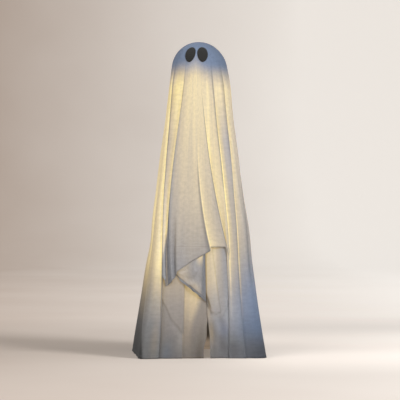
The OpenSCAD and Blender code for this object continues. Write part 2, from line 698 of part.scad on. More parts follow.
outer_drape();
lining_skirt();
neck_tape();
left_eye();
right_eye();
head_form();
head_screws();
crown_hub();
lamp_reflector();
lamp_lens();
led_board();
led_chips();
lamp_cap();
battery_tray();
battery_cells();
contact_springs();
contact_plates();
battery_door();
door_pin();
switch_body();
switch_slider();
lamp_leads();
upper_leg(0);  // upper_leg_rear_right
upper_leg(1);  // upper_leg_rear_left
upper_leg(2);  // upper_leg_front_left
upper_leg(3);  // upper_leg_front_right
lower_leg(0);  // lower_leg_rear_right
lower_leg(1);  // lower_leg_rear_left
lower_leg(2);  // lower_leg_front_left
lower_leg(3);  // lower_leg_front_right
coupler(0);  // coupler_rear_right
coupler(1);  // coupler_rear_left
coupler(2);  // coupler_front_left
coupler(3);  // coupler_front_right
spreader(0);  // spreader_right
spreader(1);  // spreader_rear
spreader(2);  // spreader_left
spreader(3);  // spreader_front
foot_cap(0);  // foot_cap_rear_right
foot_cap(1);  // foot_cap_rear_left
foot_cap(2);  // foot_cap_front_left
foot_cap(3);  // foot_cap_front_right
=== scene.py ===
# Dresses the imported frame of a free-standing lit cloth ghost: cloth cover, felt eyes and every finish.
import math

import bmesh
import bpy
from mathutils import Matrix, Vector, noise


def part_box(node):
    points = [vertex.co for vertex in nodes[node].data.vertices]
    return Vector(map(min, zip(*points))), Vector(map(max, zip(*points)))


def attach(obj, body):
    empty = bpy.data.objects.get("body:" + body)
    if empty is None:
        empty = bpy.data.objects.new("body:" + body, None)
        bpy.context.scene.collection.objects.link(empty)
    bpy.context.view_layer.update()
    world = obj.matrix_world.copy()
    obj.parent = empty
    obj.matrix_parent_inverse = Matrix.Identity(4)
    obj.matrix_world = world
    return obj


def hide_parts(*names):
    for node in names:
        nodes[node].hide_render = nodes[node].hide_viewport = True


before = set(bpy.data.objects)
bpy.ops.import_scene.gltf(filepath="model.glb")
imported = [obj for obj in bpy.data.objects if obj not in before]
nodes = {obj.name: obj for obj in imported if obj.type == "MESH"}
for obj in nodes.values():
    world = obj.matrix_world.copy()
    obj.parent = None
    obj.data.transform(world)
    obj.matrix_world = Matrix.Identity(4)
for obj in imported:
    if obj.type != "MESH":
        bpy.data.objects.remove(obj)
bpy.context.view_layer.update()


# shader maths

class Val:  # a shader socket that takes part in sums
    def __init__(self, tree, socket):
        self.tree, self.socket = tree, socket

    def calc(self, operation, other=0.0, flip=False):
        made = self.tree.nodes.new("ShaderNodeMath")
        made.operation = operation
        pair = (other, self) if flip else (self, other)
        for slot, value in zip(made.inputs, pair):
            plug(self.tree, slot, value)
        return Val(self.tree, made.outputs[0])

    def __add__(self, other): return self.calc("ADD", other)
    def __sub__(self, other): return self.calc("SUBTRACT", other)
    def __mul__(self, other): return self.calc("MULTIPLY", other)
    def __truediv__(self, other): return self.calc("DIVIDE", other)
    def __rsub__(self, other): return self.calc("SUBTRACT", other, flip=True)
    def __rtruediv__(self, other): return self.calc("DIVIDE", other, flip=True)
    __radd__, __rmul__ = __add__, __mul__

    def below(self, other): return self.calc("LESS_THAN", other)
    def above(self, other): return self.calc("GREATER_THAN", other)
    def absolute(self): return self.calc("ABSOLUTE")
    def fraction(self): return self.calc("FRACT")
    def sibling(self, output): return Val(self.tree, self.socket.node.outputs[output])


def plug(tree, slot, value):
    if isinstance(value, Val):
        tree.links.new(value.socket, slot)
    elif isinstance(value, tuple) and len(value) == 3 and slot.type == "RGBA":
        slot.default_value = (*value, 1.0)
    else:
        slot.default_value = value


class Finish:  # a material, and one method that adds any node to it
    def __init__(self, name):
        self.material = bpy.data.materials.new(name)
        self.material.use_nodes = True
        self.tree = self.material.node_tree
        self.tree.nodes.clear()

    def node(self, kind, settings=None, inputs=None, output=0):
        made = self.tree.nodes.new(kind)
        for key, value in (settings or {}).items():
            if key == "stops":
                ramp = made.color_ramp
                while len(ramp.elements) < len(value):
                    ramp.elements.new(0.5)
                for stop, (place, colour) in zip(ramp.elements, value):
                    stop.position, stop.color = place, (*colour, 1.0)
            else:
                setattr(made, key, value)
        for key, value in (inputs or {}).items():
            plug(self.tree, made.inputs[key], value)
        return Val(self.tree, made.outputs[output]) if made.outputs else made

    def blend(self, share, low, high, kind="MIX"):
        made = self.tree.nodes.new("ShaderNodeMix")
        made.data_type, made.blend_type = "RGBA", kind
        for slot, value in zip((made.inputs[0], made.inputs[6], made.inputs[7]), (share, low, high)):
            plug(self.tree, slot, value)
        return Val(self.tree, made.outputs[2])

    def stretched(self, where, scale):
        return self.node("ShaderNodeMapping", inputs={"Vector": where, "Scale": Vector(scale)})

    def place(self, scale=(1.0, 1.0, 1.0)):  # object coordinates in metres, stretched by scale
        return self.stretched(self.node("ShaderNodeTexCoord", output="Object"), scale)

    def grain(self, where, scale, detail=2.0, rough=0.5):
        return self.node("ShaderNodeTexNoise", inputs={
            "Vector": where, "Scale": scale, "Detail": detail, "Roughness": rough})

    def bump(self, height, distance, strength=1.0):
        return self.node("ShaderNodeBump", inputs={
            "Height": height, "Distance": distance, "Strength": strength})

    def close(self, inputs):
        shader = self.node("ShaderNodeBsdfPrincipled", inputs=inputs)
        self.node("ShaderNodeOutputMaterial", inputs={"Surface": shader})
        return self.material


def linear(red, green, blue):  # a screen colour, 0 to 255, as scene light
    shares = [level / 255 for level in (red, green, blue)]
    return tuple(v / 12.92 if v < 0.0408 else ((v + 0.055) / 1.055) ** 2.4 for v in shares)


# shape of the cover, in metres and degrees

cover = {
    "headRadius": 0.079,
    "hemHalf": 0.186,        # middle of a face at the hem
    "cornerHalf": 0.178,     # a corner at the hem, along x and along y
    "pleatDepth": 0.011,
    "pleatFade": 0.19,       # height over which a pleat grows
    "pleatDrop": 0.025,      # shoulder to the start of the pleats
    "neckDrop": 0.055,       # shoulder to where the pleats begin to wander
    "lateDrop": 0.090,       # and to the start of later ones
    "halfDrop": 0.300,
    "kneeDrop": 0.400,
    "wall": 0.0012,
    "seamGap": 0.0003,
    "layerGap": 0.0015,
    "liningRelief": 0.006,
    "liningDrop": 0.055,
    "slitTop": 0.185,
    "hemClear": 0.001,
    "hemFold": 0.0105,       # height of the turned-up hem
    "hemSwell": 0.0006,      # the hem is two cloths thick
    "crownFade": 0.06,       # swells die away over this height to the crown
    "weaveRadius": 0.13,     # a turn counts as this radius's length of cloth in the weave
}
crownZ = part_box("outer_drape")[1].z
headZ = crownZ - cover["headRadius"]
flare = math.radians(7)
for settle in range(8):
    flare = math.atan((cover["hemHalf"] - cover["headRadius"] * math.cos(flare))
                      / (headZ + cover["headRadius"] * math.sin(flare)))
shoulderZ = headZ + cover["headRadius"] * math.sin(flare)
shoulderR = cover["headRadius"] * math.cos(flare)
neckZ = shoulderZ - cover["neckDrop"]
pleatTop = shoulderZ - cover["pleatDrop"]
lateTop = shoulderZ - cover["lateDrop"]
halfTop = shoulderZ - cover["halfDrop"]
kneeTop = shoulderZ - cover["kneeDrop"]


def ease(t):
    t = min(1.0, max(0.0, t))
    return t * t * (3 - 2 * t)


def rise(at, start, full):  # from 0 at start to 1 at full, whichever is higher
    return ease((at - start) / (full - start))


def mix(a, b, t):
    return a + (b - a) * t


def through(stops, at):  # straight lines through (place, value) stops
    if at <= stops[0][0]:
        return stops[0][1]
    for (p0, v0), (p1, v1) in zip(stops, stops[1:]):
        if at <= p1:
            return mix(v0, v1, (at - p0) / (p1 - p0))
    return stops[-1][1]


def envelope(turn, z):  # a circle at the shoulder and a rounded square at the hem
    face = mix(cover["hemHalf"], shoulderR, z / shoulderZ)
    corner = mix(cover["cornerHalf"], shoulderR / math.sqrt(2), z / shoulderZ)
    power = math.log(2) / math.log(face / corner)
    s, c = abs(math.sin(math.radians(turn))), abs(math.cos(math.radians(turn)))
    m = max(s, c)
    return face / m / ((s / m) ** power + (c / m) ** power) ** (1 / power)


def roundPoint(radius, turn, z):
    return Vector((radius * math.sin(math.radians(turn)), -radius * math.cos(math.radians(turn)), z))


def growth(start, z):
    return ease((start - z) / cover["pleatFade"])


# neck, middle and hem turn, share of the recess, hem height, start,
# then glow at the four levels from the neck to the knee, and the share of its colour kept at the knee as
# painted shade
frontPleats = [
    (-77, -51, -45, 0.00, 0.000, pleatTop, 0.52, 0.44, 0.38, 0.26, 0.88),
    (-72, -47.5, -41, 0.15, 0.000, pleatTop, 0.64, 0.58, 0.56, 0.54, 0.88),
    (-66, -43.3, -35.6, 0.90, 0.000, pleatTop, 0.82, 0.86, 0.84, 0.76, 1.04),
    (-64.6, -48.1, -37.2, 0.35, 0.232, pleatTop, 0.40, 0.14, 0.20, 0.38, 1.00),
    (-48, -43.4, -34.9, 0.60, 0.218, pleatTop, 0.66, 0.38, 0.42, 0.52, 1.00),
    (-34.2, -39, -35.0, 0.95, 0.205, pleatTop, 0.64, 0.66, 0.60, 0.62, 1.00),
    (-32.8, -38.2, -32.2, 0.25, 0.210, pleatTop, 0.38, 0.04, 0.00, 0.00, 0.74),
    (-29, -37.2, -30.6, 0.40, 0.216, kneeTop, 0.43, 0.12, 0.02, 0.00, 0.76),
    (-26.4, -33.6, -29.4, 0.00, 0.222, kneeTop, 0.47, 0.31, 0.17, 0.01, 0.95),
    (-24.5, -30.4, -28.0, 0.80, 0.230, kneeTop, 0.50, 0.38, 0.22, 0.01, 0.68),
    (-21, -28.4, -25.8, 0.00, 0.247, kneeTop, 0.52, 0.42, 0.27, 0.04, 0.98),
    (-11, -14, -12, 0.00, 0.276, kneeTop, 0.54, 0.41, 0.32, 0.09, 0.92),
    (-5.5, -5.6, 8.5, 0.10, 0.305, halfTop, 0.55, 0.43, 0.30, 0.05, 0.90),
    (-4.5, -4.4, 9.6, 0.75, 0.315, halfTop, 0.56, 0.47, 0.62, 0.74, 1.00),
    (-2, 6, 25.0, 0.40, 0.316, halfTop, 0.57, 0.42, 0.27, 0.15, 1.00),
    (-0.5, 13.2, 27.6, 0.25, 0.293, lateTop, 0.56, 0.36, 0.19, 0.05, 1.00),
    (0.9, 14.4, 28.5, 0.95, 0.297, lateTop, 0.44, 0.82, 0.66, 0.42, 1.00),
    (12, 21.8, 29.0, 0.60, 0.302, pleatTop, 0.53, 0.46, 0.44, 0.30, 1.00),
    (23.0, 28.4, 22.4, 0.30, 0.000, pleatTop, 0.34, 0.36, 0.40, 0.26, 1.00),
    (24.4, 29.6, 23.6, 0.95, 0.000, pleatTop, 0.40, 0.96, 0.98, 0.68, 1.00),
    (25.9, 31, 25, 0.92, 0.000, pleatTop, 0.57, 0.50, 0.52, 0.31, 1.00),
    (33, 33.6, 29.4, 0.55, 0.000, pleatTop, 0.57, 0.19, 0.17, 0.16, 0.98),
    (47.3, 36.8, 33.4, 0.25, 0.000, pleatTop, 0.58, 0.16, 0.20, 0.13, 0.96),
    (48.7, 38.0, 34.6, 0.95, 0.000, pleatTop, 0.76, 0.92, 0.96, 0.62, 0.96),
    (50.2, 39.6, 36.2, 0.92, 0.000, pleatTop, 0.64, 0.56, 0.42, 0.15, 0.96),
    (54, 44, 40, 0.20, 0.000, pleatTop, 0.56, 0.38, 0.19, 0.08, 0.92),
    (60, 46, 45, 0.36, 0.000, pleatTop, 0.46, 0.32, 0.18, 0.05, 0.90),
]
sidePleats = {
    "steps": 18,
    "shares": (0.08, 0.95, 0.5),
    "rightGlow": ((0.42, 0.26, 0.20, 0.06), (0.58, 0.42, 0.36, 0.20), (0.50, 0.34, 0.28, 0.12)),
    "leftGlow": ((0.56, 0.46, 0.42, 0.30), (0.66, 0.56, 0.48, 0.38), (0.60, 0.50, 0.45, 0.34)),
}
# a pleat's doubled edge lets less light through
foldEdge = {
    "step": 1.6, "deeper": 0.2,         # lines this close, one deeper by this share, make an edge
    "width": 2.3, "least": 0.1,         # turns that its shade reaches, and the least width of a panel
    "soft": 0.6,                        # how round the recess is between two lines
    "rise": 0.05, "fade": 0.08,
    "tone": 0.34, "glow": 0.52,         # painted shade that it takes from the colour, and what it takes from the light
    "falloff": 0.42, "rampUp": 0.75,
    # first and last panel, the heights between which the edge grows faint, and the share left below
    "faint": [(17, 18, 0.52, 0.46, 0.25), (21, 22, 0.60, 0.54, 0.60), (17, 23, 0.17, 0.06, 0.35)],
}
# turn, height, spread of both, and how far the drape stands out there
swells = [(88, 0.785, 40, 0.080, 0.0068), (70, 0.365, 38, 0.065, 0.0050), (-125, 0.02, 40, 0.12, 0.0055),
          (-115, 0.325, 45, 0.055, -0.0065), (54, 0.15, 24, 0.16, -0.0046), (88, 0.605, 40, 0.105, 0.0036)]
# painted shade lines near the two outlines: neck, middle and hem turn, lowest and highest point,
# half width, depth of the shade, and the light beyond it
rimLines = [(86, 48.6, 50, 0.20, 0.78, 1.5, 0.75, 0.0), (-82.7, -58.2, -52.5, 0.20, 0.54, 1.7, 0.80, 0.24),
            (92, 70, 60, 0.50, 0.82, 6.0, 0.60, 0.0)]
rimFade = {"ends": 0.06, "beyond": 30.0, "wide": 26.0, "tall": 0.15}


def bump(at, middle, spread):
    return math.exp(-((at - middle) / spread) ** 2)


def sideLines(corner, left):
    lines = []
    for k in range(1, sidePleats["steps"] + (0 if left else 1)):
        t = k / sidePleats["steps"]
        turns = [mix(a, -180 if left else 180, t) + (360 if left else 0) for a in corner[:3]]
        kind = (k + 2) % len(sidePleats["shares"])
        glow = sidePleats["leftGlow" if left else "rightGlow"][kind]
        lines.append((*turns, sidePleats["shares"][kind], 0.0, pleatTop, *glow, corner[10]))
    return lines[::-1] if left else lines


def unwound(line):
    return (line[0] + 360, line[1] + 360, line[2] + 360, *line[3:])


rightSide, leftSide = sideLines(frontPleats[-1], False), sideLines(frontPleats[0], True)


def pleatTurn(line, z, hem):
    v = min(1.0, max(0.0, (neckZ - z) / (neckZ - hem)))
    return line[0] * (1 - v) * (1 - 2 * v) + line[1] * 4 * v * (1 - v) + line[2] * v * (2 * v - 1)


def stepsDown(lines, k, other):  # true where the next line lies close by and deeper
    if not (0 <= k < len(lines) and 0 <= other < len(lines)):
        return False
    near = abs(lines[k][0] - lines[other][0]) < foldEdge["step"]
    return near and lines[other][3] > lines[k][3] + foldEdge["deeper"]


# a line part of the way from one pleat line to the next, and how near a doubled edge is
def between(lines, column):
    k, f = column
    soft = mix(f, ease(f), foldEdge["soft"])
    a, b = lines[k], lines[k + 1]
    width = max(abs(a[1] - b[1]), foldEdge["least"])
    edge = 0.0
    if stepsDown(lines, k, k + 1):   # the shade ends halfway across the step itself
        edge = ease(1 - f / 0.5)
    elif stepsDown(lines, k + 1, k):
        edge = ease(1 - (1 - f) / 0.5)
    elif stepsDown(lines, k + 1, k + 2):
        edge = ease(1 - (1 - f) * width / foldEdge["width"])
    elif stepsDown(lines, k, k - 1):
        edge = ease(1 - f * width / foldEdge["width"])
    elif stepsDown(lines, k - 1, k - 2):
        edge = ease(1 - (abs(a[1] - lines[k - 1][1]) + f * width) / foldEdge["width"])
    lit = f   # the light falls off fastest beside a deep line
    if stepsDown(lines, k - 1, k) and width > foldEdge["width"]:
        lit = f ** foldEdge["falloff"]
    elif stepsDown(lines, k + 2, k + 1):
        lit = 1 - (1 - f) ** foldEdge["rampUp"]
    shares = [f, f, f, soft, f, f, lit, lit, lit, lit, f]
    return tuple(mix(x, y, share) for x, y, share in zip(a, b, shares)) + (edge,)


# columns of the grid: every pleat line has one, and wide panels have more between
def spread(lines, stepAt, least, levels):
    columns = []
    for k, (a, b) in enumerate(zip(lines, lines[1:])):
        widest = max(abs(b[i] - a[i]) for i in levels)
        count = max(least, math.ceil(widest / stepAt(a)))
        columns += [(k, i / count) for i in range(count)]
    return columns + [(len(lines) - 2, 1.0)]


# an object from a bmesh, its faces turned to the side that facing counts as outward
def asPiece(name, bm, facing):
    bm.normal_update()
    if sum(facing(face) for face in bm.faces) < 0:
        bmesh.ops.reverse_faces(bm, faces=bm.faces)
    mesh = bpy.data.meshes.new(name)
    bm.to_mesh(mesh)
    bm.free()
    mesh.shade_smooth()
    piece = bpy.data.objects.new(name, mesh)
    bpy.context.scene.collection.objects.link(piece)
    return piece


def fromAxis(face):
    middle = face.calc_center_median()
    return face.normal.x * middle.x + face.normal.y * middle.y


def clothMesh(name, columns, rows, place, smoothing=0, weld=False):
    # a flat grid comes first, then each crossing moves to its place on the cloth
    bm = bmesh.new()
    bmesh.ops.create_grid(bm, x_segments=columns, y_segments=rows, size=0.5)
    layers = bm.verts.layers
    glow, tone = layers.float_color.new("glow"), layers.float_color.new("tone")
    hem = layers.float.new("hem")
    uvLayer, uvs = bm.loops.layers.uv.new("cloth"), {}
    for v in bm.verts:
        column, row = round((v.co.x + 0.5) * columns), round((0.5 - v.co.y) * rows)
        made = place(column, row)
        v.co = made["at"]
        v[glow], v[tone], v[hem] = (*made["glow"], 1.0), (*made["tone"], 1.0), made["hem"]
        uvs[v] = made["uv"]
    for face in bm.faces:
        for loop in face.loops:
            loop[uvLayer].uv = uvs[loop.vert]
    if weld:
        bmesh.ops.remove_doubles(bm, verts=bm.verts, dist=1e-5)
    for again in range(smoothing):
        inner = [v for v in bm.verts if not v.is_boundary]
        bmesh.ops.smooth_vert(bm, verts=inner, factor=0.5,
                              use_axis_x=True, use_axis_y=True, use_axis_z=True)
    return asPiece(name, bm, fromAxis)


def thicken(piece, wall):
    made = piece.modifiers.new("wall", "SOLIDIFY")
    made.thickness, made.offset, made.use_even_offset = wall, -1.0, False


# scale across and up, and offset
creases = {"broad": (26, 4.5, 0.0), "fine": (85, 14, 3.7), "fineShare": 0.45}


def wrinkle(p, amount):  # soft upright unevenness
    broad, fine = (noise.noise(Vector((p.x * across, p.y * across, p.z * up + offset)))
                   for across, up, offset in (creases["broad"], creases["fine"]))
    return amount * (broad + creases["fineShare"] * fine)


def slanting(a, b, grain):  # noise over two directions, each a sum of shares of a and b
    (acrossA, acrossB), (upA, upB), offset = grain
    return noise.noise(Vector((a * acrossA + b * acrossB, a * upA + b * upB, offset)))


# light through the cloth

lamplight = {
    "red": 1.0, "green": (0.63, 0.19), "blue": 0.20,   # green grows with the light: strong light is yellower
    # turn from the front, and height where the glow ends against the solid head
    "edge": [(-180, 0.804), (-80, 0.808), (-59, 0.816), (-35, 0.823), (-22, 0.831), (-11, 0.846),
             (-2, 0.832), (4, 0.818), (18, 0.809), (32, 0.807), (49, 0.804), (70, 0.801), (180, 0.802)],
    "edgeTurns": (-6, -3, 0, 3, 6),                    # the edge is evened out over these
    "edgeSoft": 0.086,
    "levels": (0.77, 0.62, 0.46, 0.27),                # heights of the four glow values of a pleat line
    "out": ((0.10, 0.0), (0.165, 0.24), (0.22, 0.64)),   # and the share that is left lower down
    "streak": 0.16, "fineStreak": 0.7,
    "streakGrains": ((0.21, 3.0, 5.2), (0.62, 6.5, 1.7)),   # broad and fine: scale across and up, offset
    "joined": (110, 180),              # left and right come together at the back between these turns
}
# painted shade and light in the cloth's colour: the plain grey is darker than the white cloth, shaded cloth
# turns cool, and shares of the colour go darker and paler by place
clothToneAndShade = {
    "plain": linear(151, 150, 151),
    "coolShade": linear(124, 139, 164),
    "coolLeast": 0.12,
    "coolHead": (0.80, 0.85),          # the head takes the painted cool shade between these heights
    "headShade": (1.0, 0.66),          # share of its colour that it keeps at the left and the right
    "headTurns": (-40, 85),
    "coolRight": (18, 44),             # the right face takes the painted cool shade as well, between these turns
    "coolRightTop": (0.36, 0.16),
    "coolFloor": (0.40, 0.02, 0.085),  # the share of it left at the floor, and the heights between
    "hemShade": (0.57, 0.17),          # share of colour kept at the floor, and the height of all of it
    "leftShade": (0.31, 0.30),         # the same on the left face, whose edge has these heights and turns
    "leftCorner": [(0.0, -42.6), (0.045, -45.4), (0.105, -51), (0.175, -66)],
    "leftSoft": 2.0,
    # share of colour kept on the right face, by height, and the turns over which it sets in
    "rightShade": [(0.0, 0.46), (0.035, 0.58), (0.06, 0.81), (0.085, 0.90), (0.165, 0.96), (0.30, 1.0)],
    "rightTurns": (28, 44),
    "kneeShade": (0.45, 0.30),         # a pleat line's own shade comes in between these heights
    # patches of painted light and shade: change of red, green and blue, turn and its spread, height and its
    # spread
    "shadingPatches": [((0.17, 0.17, 0.17), 29, 7, 0.115, 0.05), ((-0.32, -0.32, -0.32), 26, 5, 0.028, 0.030),
                ((0.28, 0.15, 0.0), -38.6, 1.9, 0.055, 0.055), ((0.0, 0.05, 0.16), 38, 5, 0.58, 0.08),
                ((0.25, 0.28, 0.36), -66, 14, 0.80, 0.03)],
    "leftWarmLight": (1.0, 0.985, 0.93),    # painted warm light low on the left, between these turns and heights
    "warmTurns": (-30, -40), "warmTop": (0.36, 0.26),
    "sideLight": (0.26, 0.10),          # painted light: the left and right are paler than the middle by these shares
    "liftTurns": (32, 44),
    "liftFoot": (0.20, 0.32), "liftTop": (0.78, 0.66),
}


def wrapped(turn):
    return (turn + 180) % 360 - 180


def glowEdge(turn, z):
    t, steps = wrapped(turn), lamplight["edgeTurns"]
    limit = sum(through(lamplight["edge"], t + step) for step in steps) / len(steps)
    return ease((limit - z) / lamplight["edgeSoft"] + 0.5)


def lineGlow(line, z):
    low = line[9]
    stops = [(height, share * low) for height, share in lamplight["out"]]
    return through(stops + list(zip(lamplight["levels"], line[6:10]))[::-1], z)


def backShare(t):
    return 0.5 * rise(abs(t), *lamplight["joined"])


def streakAt(t, z):
    broad, fine = (noise.noise(Vector((t * across, z * up, offset)))
                   for across, up, offset in lamplight["streakGrains"])
    return 1 + lamplight["streak"] * (broad + lamplight["fineStreak"] * fine)


def streaks(turn, z):  # the light comes through unevenly, in upright streaks
    t = wrapped(turn)
    return mix(streakAt(t, z), streakAt(-t, z), backShare(t))


def tinted(level):
    level = max(0.0, level)
    share, more = lamplight["green"]
    return level * lamplight["red"], level * (share + more * level), level * lamplight["blue"]


def patched(shadingPatches, t, z):
    change = [1.0, 1.0, 1.0]
    for amounts, middle, wide, height, tall in shadingPatches:
        share = bump(t, middle, wide) * bump(z, height, tall)
        change = [c + amount * share for c, amount in zip(change, amounts)]
    return change


# the cloth's colour with its painted shade and light, left and right joined at the back
def toneAndShadeAt(turn, z, keep=1.0):
    t = wrapped(turn)
    return tuple(mix(a, b, backShare(t)) for a, b in zip(sideToneAndShade(t, z, keep), sideToneAndShade(-t, z, keep)))


# painted shade and light on one side: cool shade, darker towards the floor, the head and faces darker and
# paler, and a pleat line's own shade
def sideToneAndShade(t, z, keep):
    head = rise(z, *clothToneAndShade["coolHead"])
    floorShare, start, full = clothToneAndShade["coolFloor"]
    face = rise(t, *clothToneAndShade["coolRight"]) * rise(z, *clothToneAndShade["coolRightTop"])
    coolShade = max(head, face * mix(floorShare, 1.0, rise(z, start, full)), clothToneAndShade["coolLeast"])
    share, top = clothToneAndShade["hemShade"]
    shade = mix(share, 1.0, ease(z / top))
    shade *= mix(1.0, mix(*clothToneAndShade["headShade"], rise(t, *clothToneAndShade["headTurns"])), head)
    lift = clothToneAndShade["sideLight"][0 if t < 0 else 1] * rise(abs(t), *clothToneAndShade["liftTurns"])
    shade *= 1 + lift * rise(z, *clothToneAndShade["liftFoot"]) * rise(z, *clothToneAndShade["liftTop"])
    corner = through(clothToneAndShade["leftCorner"], z)
    if t < corner:
        share, top = clothToneAndShade["leftShade"]
        shade *= mix(1.0, mix(share, 1.0, ease(z / top)), ease((corner - t) / clothToneAndShade["leftSoft"]))
    if t > clothToneAndShade["rightTurns"][0]:
        shade *= mix(1.0, through(clothToneAndShade["rightShade"], z), rise(t, *clothToneAndShade["rightTurns"]))
    shade *= mix(1.0, keep, rise(z, *clothToneAndShade["kneeShade"]))
    warm = rise(t, *clothToneAndShade["warmTurns"]) * rise(z, *clothToneAndShade["warmTop"])
    patch = patched(clothToneAndShade["shadingPatches"], t, z)
    return tuple(mix(a, b, coolShade) * shade * mix(1.0, w, warm) * p
                 for a, b, w, p in zip(clothToneAndShade["plain"], clothToneAndShade["coolShade"], clothToneAndShade["leftWarmLight"], patch))


# cloth of the cover

drape = {
    "columnStep": 0.85, "leastColumns": 3,
    "domeRows": 22, "bodyRows": 96,
    "hemRows": (0.0125, 0.0112, 0.0100, 0.0085, 0.0045, 0.0),
    "wrinkle": 0.0010, "wrinkleFade": 0.12,   # and the height below the shoulder over which it grows
    "smoothing": 2,
    # the left face's pleats shrink to this share at the floor, and are whole at this height
    "leftFace": (225, 314), "leftFlat": (0.30, 0.30),
    # the long edge sinks back lower down, and its free edge rolls in to the lining
    "lowEdge": {"line": 18, "turns": 5.0, "share": 0.90, "from": 0.33, "to": 0.25,
                "rollIn": 0.0028, "rollTop": 0.30, "rollFull": 0.26},
    # the narrow strip on the left goes dark before its hem, at a height that grows between two panels
    "strip": {"panels": (2, 5), "end": 0.262, "grow": 0.07, "growPanels": (3, 5), "soft": 0.05},
    # little light comes through a raised hem's doubled edge
    "raisedHem": {"least": 0.1, "share": 0.25, "tall": 0.004},
}
drapeLines = frontPleats + rightSide + leftSide
drapeLines.append(unwound(drapeLines[0]))
drapeColumns = spread(drapeLines, lambda line: drape["columnStep"], drape["leastColumns"], range(3))
domeArc = cover["headRadius"] * (math.pi / 2 - flare)   # length of cloth from the crown to the shoulder


def drapeLevel(row, hem):
    top = drape["hemRows"][0] + hem
    if row <= drape["bodyRows"]:
        return mix(shoulderZ, top, row / drape["bodyRows"])
    return hem + drape["hemRows"][row - drape["bodyRows"]]


def swell(turn, z):
    out = 0.0
    for across, height, wide, tall, amount in swells:
        out += amount * math.exp(-((wrapped(turn - across) / wide) ** 2) - ((z - height) / tall) ** 2)
    return out * ease((crownZ - z) / cover["crownFade"])


def drapeRadius(line, panel, turn, z):
    low = drape["lowEdge"]
    near = ease(1 - abs(turn - pleatTurn(drapeLines[low["line"]], z, 0.0)) / low["turns"])
    recess = line[3] + (1 - line[3]) * low["share"] * near * rise(z, low["from"], low["to"])
    first, last = drape["leftFace"]
    if first < turn < last:
        share, top = drape["leftFlat"]
        recess *= mix(share, 1.0, ease(z / top))
    r = envelope(turn, z) - cover["pleatDepth"] * recess * growth(line[5], z)
    if panel == low["line"] - 1:
        r -= low["rollIn"] * line[4] / z * rise(z, low["rollTop"], low["rollFull"])
    uneven = wrinkle(roundPoint(r, turn, z), drape["wrinkle"])
    r += uneven * ease((shoulderZ - z) / drape["wrinkleFade"]) + swell(turn, z)
    if z < cover["hemFold"]:
        r += cover["hemSwell"]
    return r


def drapeEdges(line, panel, turn, z):  # how dark a doubled edge and a rim line's painted shade are here, and the light beyond a rim line
    doubled = line[11] * ease((line[5] + foldEdge["rise"] - z) / foldEdge["fade"])
    for first, last, above, below, kept in foldEdge["faint"]:
        if first <= panel <= last:
            doubled *= mix(kept, 1.0, rise(z, below, above))
    rim = 0.0
    for *turns, low, high, wide, depth, bright in rimLines:
        window = ease((z - low) / rimFade["ends"]) * ease((high - z) / rimFade["ends"])
        away = wrapped(turn - pleatTurn(turns, z, 0.0)) * math.copysign(1.0, turns[0])
        doubled = max(doubled, depth * window * bump(away, 0.0, wide))
        bright *= bump(away, rimFade["beyond"], rimFade["wide"])
        rim += bright * bump(z, mix(low, high, 0.5), rimFade["tall"])
    return doubled, rim


def drapePlace(column, row):
    panel, across = drapeColumns[column]
    line = between(drapeLines, drapeColumns[column])
    hem = max(line[4], cover["hemClear"])
    if row <= drape["domeRows"]:
        lift = (math.pi / 2 - flare) * row / drape["domeRows"]
        r = cover["headRadius"]
        z, turn = headZ + r * math.cos(lift), line[0]
        at = roundPoint(r * math.sin(lift) + swell(turn, z), turn, z)
        down = r * lift
    else:
        z = drapeLevel(row - drape["domeRows"], hem)
        turn = pleatTurn(line, z, line[4])
        at = roundPoint(drapeRadius(line, panel, turn, z), turn, z)
        down = domeArc + (shoulderZ - z)
    doubled, rim = drapeEdges(line, panel, turn, z)
    glow = (lineGlow(line, z) + rim) * glowEdge(turn, z) * streaks(turn, z)
    glow *= 1 - foldEdge["glow"] * doubled
    strip = drape["strip"]
    first, last = strip["panels"]
    if first <= panel <= last:
        start, full = strip["growPanels"]
        end = strip["end"] + strip["grow"] * min(1.0, max(0.0, (panel + across - start) / (full - start)))
        share = {first: across, last: 1 - across}.get(panel, 1.0)
        glow *= mix(1.0, ease((z - end) / strip["soft"]), share)
    raised = drape["raisedHem"]
    if line[4] > raised["least"]:
        glow *= mix(raised["share"], 1.0, ease((z - hem) / raised["tall"]))
    # painted shade of the doubled edges on the cloth's colour
    tone = tuple(c * (1 - foldEdge["tone"] * doubled) for c in toneAndShadeAt(turn, z, line[10]))
    uv = (math.radians(line[1]) * cover["weaveRadius"], -down)
    return {"at": at, "uv": uv, "glow": tinted(glow), "tone": tone, "hem": z - cover["hemClear"]}


drapeRows = drape["domeRows"] + drape["bodyRows"] + len(drape["hemRows"]) - 1
outerDrape = clothMesh("outerDrape", len(drapeColumns) - 1, drapeRows, drapePlace,
                       drape["smoothing"], weld=True)
thicken(outerDrape, cover["wall"])
print("drape:", len(outerDrape.data.polygons), "faces")

